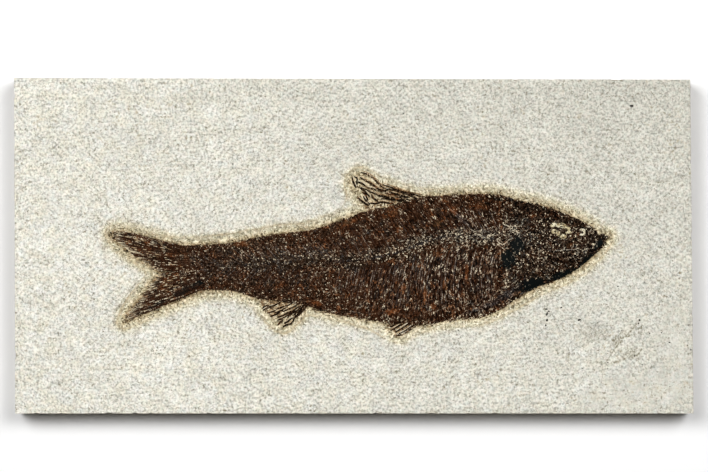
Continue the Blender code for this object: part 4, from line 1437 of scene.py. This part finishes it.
PALE_STONE = (0.800, 0.802, 0.748, 1.0)
CREAM_STONE = (0.785, 0.760, 0.640, 1.0)
# The stone's colour where the painted shade across the face is deepest.
PAINTED_SHADE_STONE = (0.585, 0.577, 0.508, 1.0)
# Olive of the stone's specks, also used as painted shade in its pits.
OLIVE_SPECK_AND_PIT_SHADE = (0.235, 0.210, 0.140, 1.0)
TAN_STAIN = (0.500, 0.410, 0.255, 1.0)
CLAY_BAND = (0.270, 0.215, 0.150, 1.0)
SAWN_STONE = (0.480, 0.440, 0.350, 1.0)
# The scribed ring's tan by distance from the fish; its first, darkest stops at the fish's very edge add a
# painted shadow along the margin.
TAN_RING_AND_EDGE_SHADOW = (
    (0.0, (0.25, 0.185, 0.10)), (0.05, (0.42, 0.345, 0.215)), (0.15, (0.53, 0.46, 0.31)),
    (0.25, (0.63, 0.575, 0.415)), (0.45, (0.665, 0.625, 0.48)), (0.65, (0.68, 0.65, 0.545)),
)
SCORES = (
    (0.0, (0.14, 0.11, 0.07)), (0.18, (0.54, 0.50, 0.41)), (0.4, (0.98, 0.965, 0.92)),
    (0.75, (1.32, 1.32, 1.32)), (1.0, (1.75, 1.80, 1.95)),
)
SCRATCH_STAIN = (0.20, 0.17, 0.095, 1.0)
ROSY_STONE = (1.035, 0.992, 0.985, 1.0)
GREENISH_STONE = (0.980, 1.003, 0.990, 1.0)
FIN_SKIN = (0.36, 0.23, 0.11, 1.0)
DARK_SKIN = (0.035, 0.018, 0.008, 1.0)


def limestone():
    """Speckled pale stone, tan and scored round the fish, layered and stained at its sides."""
    stone = Finish("speckled limestone", 0.86)
    away = stone.plus(stone.attribute("away_from_fish"), stone.swing(1.3, 0.07))
    scores = stone.cells(0.32, stone.wobbled(0.7, 0.3, stone.stretched(1.0, 0.6, 1.0, 0.9)))
    across = stone.cells(0.32, stone.wobbled(0.7, 0.3, stone.stretched(0.6, 1.0, 1.0, 0.4)))
    scores = stone.blend(stone.span(stone.noise(1.6, 1), 0.45, 0.55), scores, across)
    fades = stone.span(away, 0.15, 0.8, 1.0, 0.12)
    grain = stone.noise(0.64, 2, 0.7)
    calm = stone.times(stone.attribute("calm"), 0.55)
    clusters = stone.span(stone.noise(2.8, 2), 0.38, 0.62, 0.2, 1.0)
    # Pits: sunk in the bump below, and darkened in colour with painted shade as well as olive specks.
    pits = stone.times(stone.span(stone.noise(0.65, 2, 0.65), 0.54, 0.70), clusters)

    colour = scraped_stone(stone, away, scores, fades)
    colour = speckled_stone(stone, colour, grain, calm, pits)
    colour = marked_stone(stone, colour, grain, scores)
    colour = sawn_stone(stone, colour, grain)
    height = stone.plus(stone.blend(calm, grain, 0.5), stone.times(scores, fades, 0.5))
    height = stone.maths("SUBTRACT", height, stone.times(pits, 0.8))
    return stone.coloured(colour, height, 0.13)


def scraped_stone(stone, away, scores, fades):
    """The broad colour of the face, with painted shade darkening it towards the right and the top, and
    the tan ring with its scores and a painted shadow at the fish's edge.
    """
    colour = stone.mix(stone.span(stone.noise(3.5, 3, 0.7), 0.36, 0.64), PALE_STONE, CREAM_STONE)
    # Painted shade: the face is darkened towards the right and the top, most in its upper right corner,
    # with a broad random drift of tone added on top.
    upward = stone.span(stone.y, SLAB_LOW.y * MM, SLAB_HIGH.y * MM, 0.38, 0.90)
    shade = stone.times(stone.span(stone.x, SLAB_LOW.x * MM, SLAB_HIGH.x * MM), upward)
    shade = stone.plus(shade, stone.span(stone.y, 0, SLAB_HIGH.y * MM, 0, 0.1))
    shade = stone.plus(shade, stone.span(stone.noise(16, 3), 0.3, 0.7, -0.03, 0.22))
    colour = stone.mix(stone.span(shade, 0, 1), colour, PAINTED_SHADE_STONE)
    # Tan of the ring, with a painted shadow at the fish's edge.
    ring_tan_and_edge_shadow = stone.ramp(away, TAN_RING_AND_EDGE_SHADOW)
    colour = stone.mix(stone.span(away, 0.45, 0.85, 1.0, 0.0), colour, ring_tan_and_edge_shadow)
    colour = stone.mix(fades, colour, stone.tinted(colour, stone.ramp(scores, SCORES)))
    line_strength = stone.span(stone.noise(9, 2), 0.4, 0.6, 0.25, 0.8)
    return stone.mix(stone.times(stone.attribute("tool_line"), line_strength), colour, TAN_STAIN)


def speckled_stone(stone, colour, grain, calm, pits):
    """Light and dark grains, olive specks with painted shade in the pits, a faint blush and tan blots."""
    mottle = stone.plus(stone.swing(1.3, 0.09, 2, 0.6), stone.swing(3.2, 0.06))
    grainy = stone.maths("MINIMUM", stone.span(grain, 0.22, 0.78, 0.36, 1.68), 1.20)
    colour = stone.tinted(colour, stone.plus(stone.blend(calm, grainy, 1.0), mottle))
    # The pits are coloured dark olive: partly the stone's own specks, partly painted shade in the
    # hollows.
    colour = stone.mix(stone.times(pits, 0.95), colour, OLIVE_SPECK_AND_PIT_SHADE)
    blush = stone.span(stone.noise(1.1, 2, 0.6), 0.36, 0.64)
    colour = stone.tinted(colour, stone.mix(blush, GREENISH_STONE, ROSY_STONE))
    spots = stone.span(stone.noise(1.3, 3, 0.6), 0.58, 0.72)
    blots = stone.times(spots, stone.span(stone.noise(8, 2), 0.45, 0.62), 0.5)
    return stone.mix(blots, colour, TAN_STAIN)


def marked_stone(stone, colour, grain, scores):
    """Smudges, stained scratches, and the skin that the small fins left between their rays."""
    dots = stone.span(stone.noise(0.45, 2, 0.7), 0.48, 0.60, 0.15, 1.0)
    colour = stone.mix(stone.times(stone.attribute("smudge"), dots), colour, OLIVE_SPECK_AND_PIT_SHADE)
    broken = stone.span(grain, 0.35, 0.62, 1.0, 0.15)
    colour = stone.mix(stone.times(stone.attribute("stain_line"), broken), colour, SCRATCH_STAIN)
    skin = stone.times(stone.attribute("under_fins"), stone.attribute("near_body"))
    skin = stone.maths("MINIMUM", stone.times(skin, stone.span(scores, 0.45, 0.75, 1.5, 0.0)), 1.0)
    return stone.mix(skin, colour, stone.mix(stone.span(stone.cells(0.3), 0.2, 0.9), DARK_SKIN, FIN_SKIN))


def sawn_stone(stone, colour, grain):
    """Clay bands and thin layers along the sawn sides, a stained edge, and a stained underside."""
    bands = stone.noise(0.8, 3, 0.6, stone.stretched(0.03, 0.03, 1.0))
    thin_bands = stone.noise(0.35, 2, 0.6, stone.stretched(0.03, 0.03, 1.0))
    side = stone.mix(stone.span(bands, 0.42, 0.6), SAWN_STONE, CLAY_BAND)
    side = stone.mix(stone.span(thin_bands, 0.55, 0.7), side, CREAM_STONE)
    side = stone.tinted(side, stone.span(grain, 0.25, 0.75, 0.7, 1.3))
    colour = stone.mix(stone.times(stone.attribute("sawn_side"), 0.9), colour, side)
    underside = stone.mix(stone.span(stone.noise(13, 4, 0.6), 0.45, 0.7), colour, CLAY_BAND)
    colour = stone.mix(stone.times(stone.attribute("underside"), 0.6), colour, underside)
    ragged = stone.span(stone.noise(2, 2), 0.3, 0.5, 0.5, 1.0)
    return stone.mix(stone.times(stone.attribute("edge_stain"), ragged), colour, CLAY_BAND)


# Dark to cream tones of the bone; the palest stops are partly painted glints.
BONE_TONES = (
    (0.0, (0.0012, 0.0004, 0.0001)), (0.18, (0.0095, 0.0034, 0.0009)), (0.34, (0.0225, 0.0092, 0.0036)),
    (0.5, (0.0355, 0.0163, 0.0075)), (0.64, (0.0480, 0.0238, 0.0125)), (0.76, (0.0680, 0.0370, 0.0212)),
    (0.86, (0.114, 0.072, 0.045)), (0.94, (0.30, 0.225, 0.148)), (1.0, (0.82, 0.72, 0.52)),
)
RIB_TONES = (
    (0.0, (0.0040, 0.0022, 0.0014)), (0.3, (0.022, 0.0135, 0.0100)), (0.6, (0.062, 0.044, 0.036)),
    (0.82, (0.15, 0.118, 0.096)), (1.0, (0.50, 0.43, 0.34)),
)
# Pale tones of the splinters and the skull seams; on the splinters they partly stand in as painted
# glints.
PALE_BONE_AND_GLINT_TONES = (
    (0.0, (0.016, 0.011, 0.009)), (0.3, (0.07, 0.045, 0.032)), (0.55, (0.17, 0.13, 0.10)),
    (0.75, (0.36, 0.29, 0.20)), (1.0, (0.68, 0.60, 0.45)),
)
RAY_TONES = (
    (0.0, (0.003, 0.0015, 0.0004)), (0.5, (0.011, 0.0058, 0.0022)), (0.78, (0.045, 0.025, 0.011)),
    (0.9, (0.20, 0.13, 0.07)), (1.0, (0.48, 0.38, 0.25)),
)
NOSTRIL_TONES = ((0.0, (0.30, 0.24, 0.14)), (0.3, (0.66, 0.59, 0.42)), (1.0, (0.92, 0.88, 0.70)))
CRUMB_TONES = (
    (0.0, (0.006, 0.003, 0.001)), (0.3, (0.030, 0.015, 0.006)), (0.5, (0.10, 0.055, 0.025)),
    (0.7, (0.30, 0.20, 0.11)), (0.85, (0.55, 0.45, 0.28)), (1.0, (0.80, 0.74, 0.56)),
)
# Pale tones of the ray edges and the tail flecks; on the ray edges they are partly a painted highlight.
PALE_EDGE_AND_HIGHLIGHT_TONES = (
    (0.0, (0.08, 0.045, 0.018)), (0.25, (0.34, 0.22, 0.11)), (0.5, (0.62, 0.52, 0.34)),
    (1.0, (0.88, 0.83, 0.66)),
)
SOCKET_TONES = (
    (0.0, (0.012, 0.007, 0.003)), (0.2, (0.08, 0.055, 0.025)), (0.36, (0.34, 0.26, 0.13)),
    (0.65, (0.60, 0.51, 0.30)), (1.0, (0.86, 0.80, 0.58)),
)
DARK_TAN, PALE_TAN = (0.50, 0.40, 0.25, 1.0), (0.72, 0.64, 0.46, 1.0)
BLACK_GRAIN, BROWN_GRAIN = (0.006, 0.005, 0.004, 1.0), (0.05, 0.042, 0.03, 1.0)
ORANGE_BONE = (0.260, 0.105, 0.036, 1.0)
BLUE_BLACK = (0.0042, 0.0056, 0.0053, 1.0)
REDDER, BLUER = (1.18, 0.91, 0.74, 1.0), (0.80, 0.99, 1.20, 1.0)


def bone(name, tones=BONE_TONES, chancy=0.0, lighter=0.0, bare_edge=False, tinted=1.0):
    """Fossil bone as a mosaic of dark, rust and cream grains, the cream partly painted glints, streaked
    along the ribs.
    """
    fossil = Finish(name, 0.55, 0.02)
    flakes, crossing, strokes = (
        fossil.cells(GRAIN_SIZE, fossil.wobbled(0.8, reach, place))
        for reach, place in ((0.25, fossil.stretched(1.0, 0.62, 1.0, 0.7)),
                             (0.25, fossil.stretched(0.62, 1.0, 1.0, 0.5)),
                             (0.12, fossil.swept_place(0.3)))
    )
    tone = bone_tone(fossil, flakes, crossing, strokes, chancy)
    tone = fossil.plus(tone, lighter - 0.02)
    greyer = fossil.attribute("greyer")
    orange = fossil.times(fossil.span(fossil.noise(1.5, 3, 0.65), 0.54, 0.66),
                          fossil.span(tone, 0.55, 0.8), fossil.span(greyer, 0, 1, 0.85, 0.15))
    rust = fossil.times(fossil.attribute("rusty"), fossil.span(tone, 0.3, 0.65, 0.15, 0.8))
    colour = fossil.mix(fossil.maths("MAXIMUM", orange, rust), fossil.ramp(tone, tones), ORANGE_BONE)
    warmth = fossil.maths("SUBTRACT", fossil.noise(2.2, 3, 0.65), fossil.times(greyer, 0.2))
    tint = fossil.mix(fossil.span(fossil.plus(warmth, 0.06), 0.38, 0.6), BLUER, REDDER)
    colour = fossil.mix(fossil.span(tone, 0.65, 0.95, tinted, 0.0), colour, fossil.tinted(colour, tint))
    if bare_edge:
        bare = fossil.times(fossil.attribute("bare"), fossil.span(strokes, 0.25, 0.5))
        colour = fossil.mix(bare, colour, fossil.mix(fossil.noise(0.5, 2), DARK_TAN, PALE_TAN))
    gloss = fossil.attribute("glossy_black")
    cracks = fossil.span(tone, 0.92, 1.0, 1.0, 0.75)
    colour = fossil.mix(fossil.times(gloss, cracks), colour, BLUE_BLACK)
    fossil.feed(fossil.shader.inputs["Roughness"], fossil.blend(gloss, 0.55, 0.4))
    height = fossil.plus(fossil.noise(0.35, 3, 0.6), fossil.times(tone, 0.4))
    return fossil.coloured(colour, height, 0.08, 0.8)


def bone_tone(fossil, flakes, crossing, strokes, chancy):
    """How pale each grain is: its cell's own chance, more even towards the tail."""
    grains = fossil.blend(fossil.span(fossil.noise(1.8, 1), 0.46, 0.54), flakes, crossing)
    tone = fossil.blend(fossil.times(fossil.attribute("streaked"), 0.75), grains, strokes)
    if chancy:
        tone = fossil.blend(chancy, tone, fossil.attribute("chance"))
        tone = fossil.span(tone, 0.12, 0.88)
    contrast = fossil.span(fossil.x, -10 * MM, 32 * MM, 0.78, 1.22)
    spread = fossil.span(fossil.x, -22 * MM, 8 * MM, 0.4, 1.0)
    tone = fossil.plus(fossil.times(fossil.maths("SUBTRACT", tone, 0.5), contrast), 0.5)
    uneven = fossil.plus(fossil.swing(3.4, 0.07, 2, 0.6), fossil.swing(1.1, 0.09, 2, 0.6))
    uneven = fossil.times(uneven, spread)
    finest = fossil.span(fossil.cells(0.2), 0, 1, -0.19, 0.19)
    darker_head = fossil.span(fossil.x, 12 * MM, 36 * MM, 0.0, -0.055)
    return fossil.plus(tone, uneven, finest, fossil.times(fossil.attribute("paler"), 0.10), darker_head)


def socket_stone(name, tones):
    """Cream stone in the eye socket and nostril, flecked with dark bone."""
    stone = Finish(name, 0.7)
    flecks = stone.cells(0.36, stone.wobbled(0.6, 0.2))
    return stone.coloured(stone.ramp(flecks, tones), stone.noise(0.3, 3, 0.6), 0.06, 0.7)


def dark_mineral():
    mineral = Finish("dark mineral", 0.5)
    colour = mineral.mix(mineral.noise(0.3, 2), BLACK_GRAIN, BROWN_GRAIN)
    return mineral.coloured(colour, mineral.noise(0.2, 2), 0.03, 0.6)


# ---- the stage --------------------------------------------------------------------------

LENS, SENSOR = 200.0, 36.0
VIEW_WIDTH = 177.0  # what the camera sees across, at the height of the slab's face
VIEW_CENTRE = (0.06, 2.44)


def make_floor():
    rest_hands()
    bpy.ops.mesh.primitive_plane_add(size=6, location=(0, 0, -0.0002))
    floor = just_added("floor")
    pale = Finish("pale floor", 0.9)
    pale.shader.inputs["Base Color"].default_value = grey(0.98)
    floor.data.materials.append(pale.material)


def area_light(name, place, aim, size_x, size_y, watts):
    data = bpy.data.lights.new(name, "AREA")
    data.shape = "RECTANGLE"
    data.size, data.size_y = size_x, size_y
    data.energy = watts
    light = bpy.data.objects.new(name, data)
    bpy.context.scene.collection.objects.link(light)
    light.location = place
    light.rotation_euler = (Vector(aim) - Vector(place)).to_track_quat("-Z", "Y").to_euler()


def make_light():
    """Two broad softboxes behind the camera and a faint even glow."""
    for name, side, watts in (("left softbox", -1, 10.1), ("right softbox", 1, 8.8)):
        area_light(name, (side * 0.42, 0.31, 1.15), (0, 0, 0), 0.45, 0.56, watts)
    world = bpy.data.worlds.new("studio")
    bpy.context.scene.world = world
    world.use_nodes = True
    glow = world.node_tree.nodes["Background"]
    glow.inputs["Color"].default_value = grey(1.0)
    glow.inputs["Strength"].default_value = 0.02
    bpy.context.scene.view_settings.view_transform = "Standard"


def make_camera():
    data = bpy.data.cameras.new("camera")
    data.lens, data.sensor_width = LENS, SENSOR
    height = FACE + VIEW_WIDTH * LENS / SENSOR
    camera = bpy.data.objects.new("camera", data)
    bpy.context.scene.collection.objects.link(camera)
    camera.location = (VIEW_CENTRE[0] * MM, VIEW_CENTRE[1] * MM, height * MM)
    data.clip_start, data.clip_end = 0.01, 10
    bpy.context.scene.camera = camera


def main():
    make_slab(limestone())
    make_dark_grains(dark_mineral())
    make_body(bone("fossil body"))
    make_scales(bone("fossil scales", chancy=0.15))
    make_crumbs(bone("bone crumbs", CRUMB_TONES, chancy=0.8, tinted=0.4))
    rib_finish = bone("fossil ribs", RIB_TONES, chancy=0.35)
    make_bones(rib_finish)
    make_backbone(rib_finish)
    make_scutes(bone("fossil scutes", chancy=0.3, lighter=0.04))
    make_splinters(bone("pale splinters and painted glints", PALE_BONE_AND_GLINT_TONES, chancy=0.8))
    make_seams(bone("skull seams", PALE_BONE_AND_GLINT_TONES, chancy=0.4, lighter=0.25))
    make_fins(
        skin=bone("tail skin", lighter=0.04, bare_edge=True),
        ray=bone("tail rays", chancy=0.5, lighter=0.10),
        small_fin=bone("fin rays", RAY_TONES, chancy=0.3),
        ray_edge=bone("pale ray edges and painted highlights", PALE_EDGE_AND_HIGHLIGHT_TONES, chancy=0.6, tinted=0.3),
    )
    make_eye(socket_stone("eye stone", SOCKET_TONES))
    make_nostril(socket_stone("nostril stone", NOSTRIL_TONES))
    make_floor()
    make_light()
    make_camera()


main()
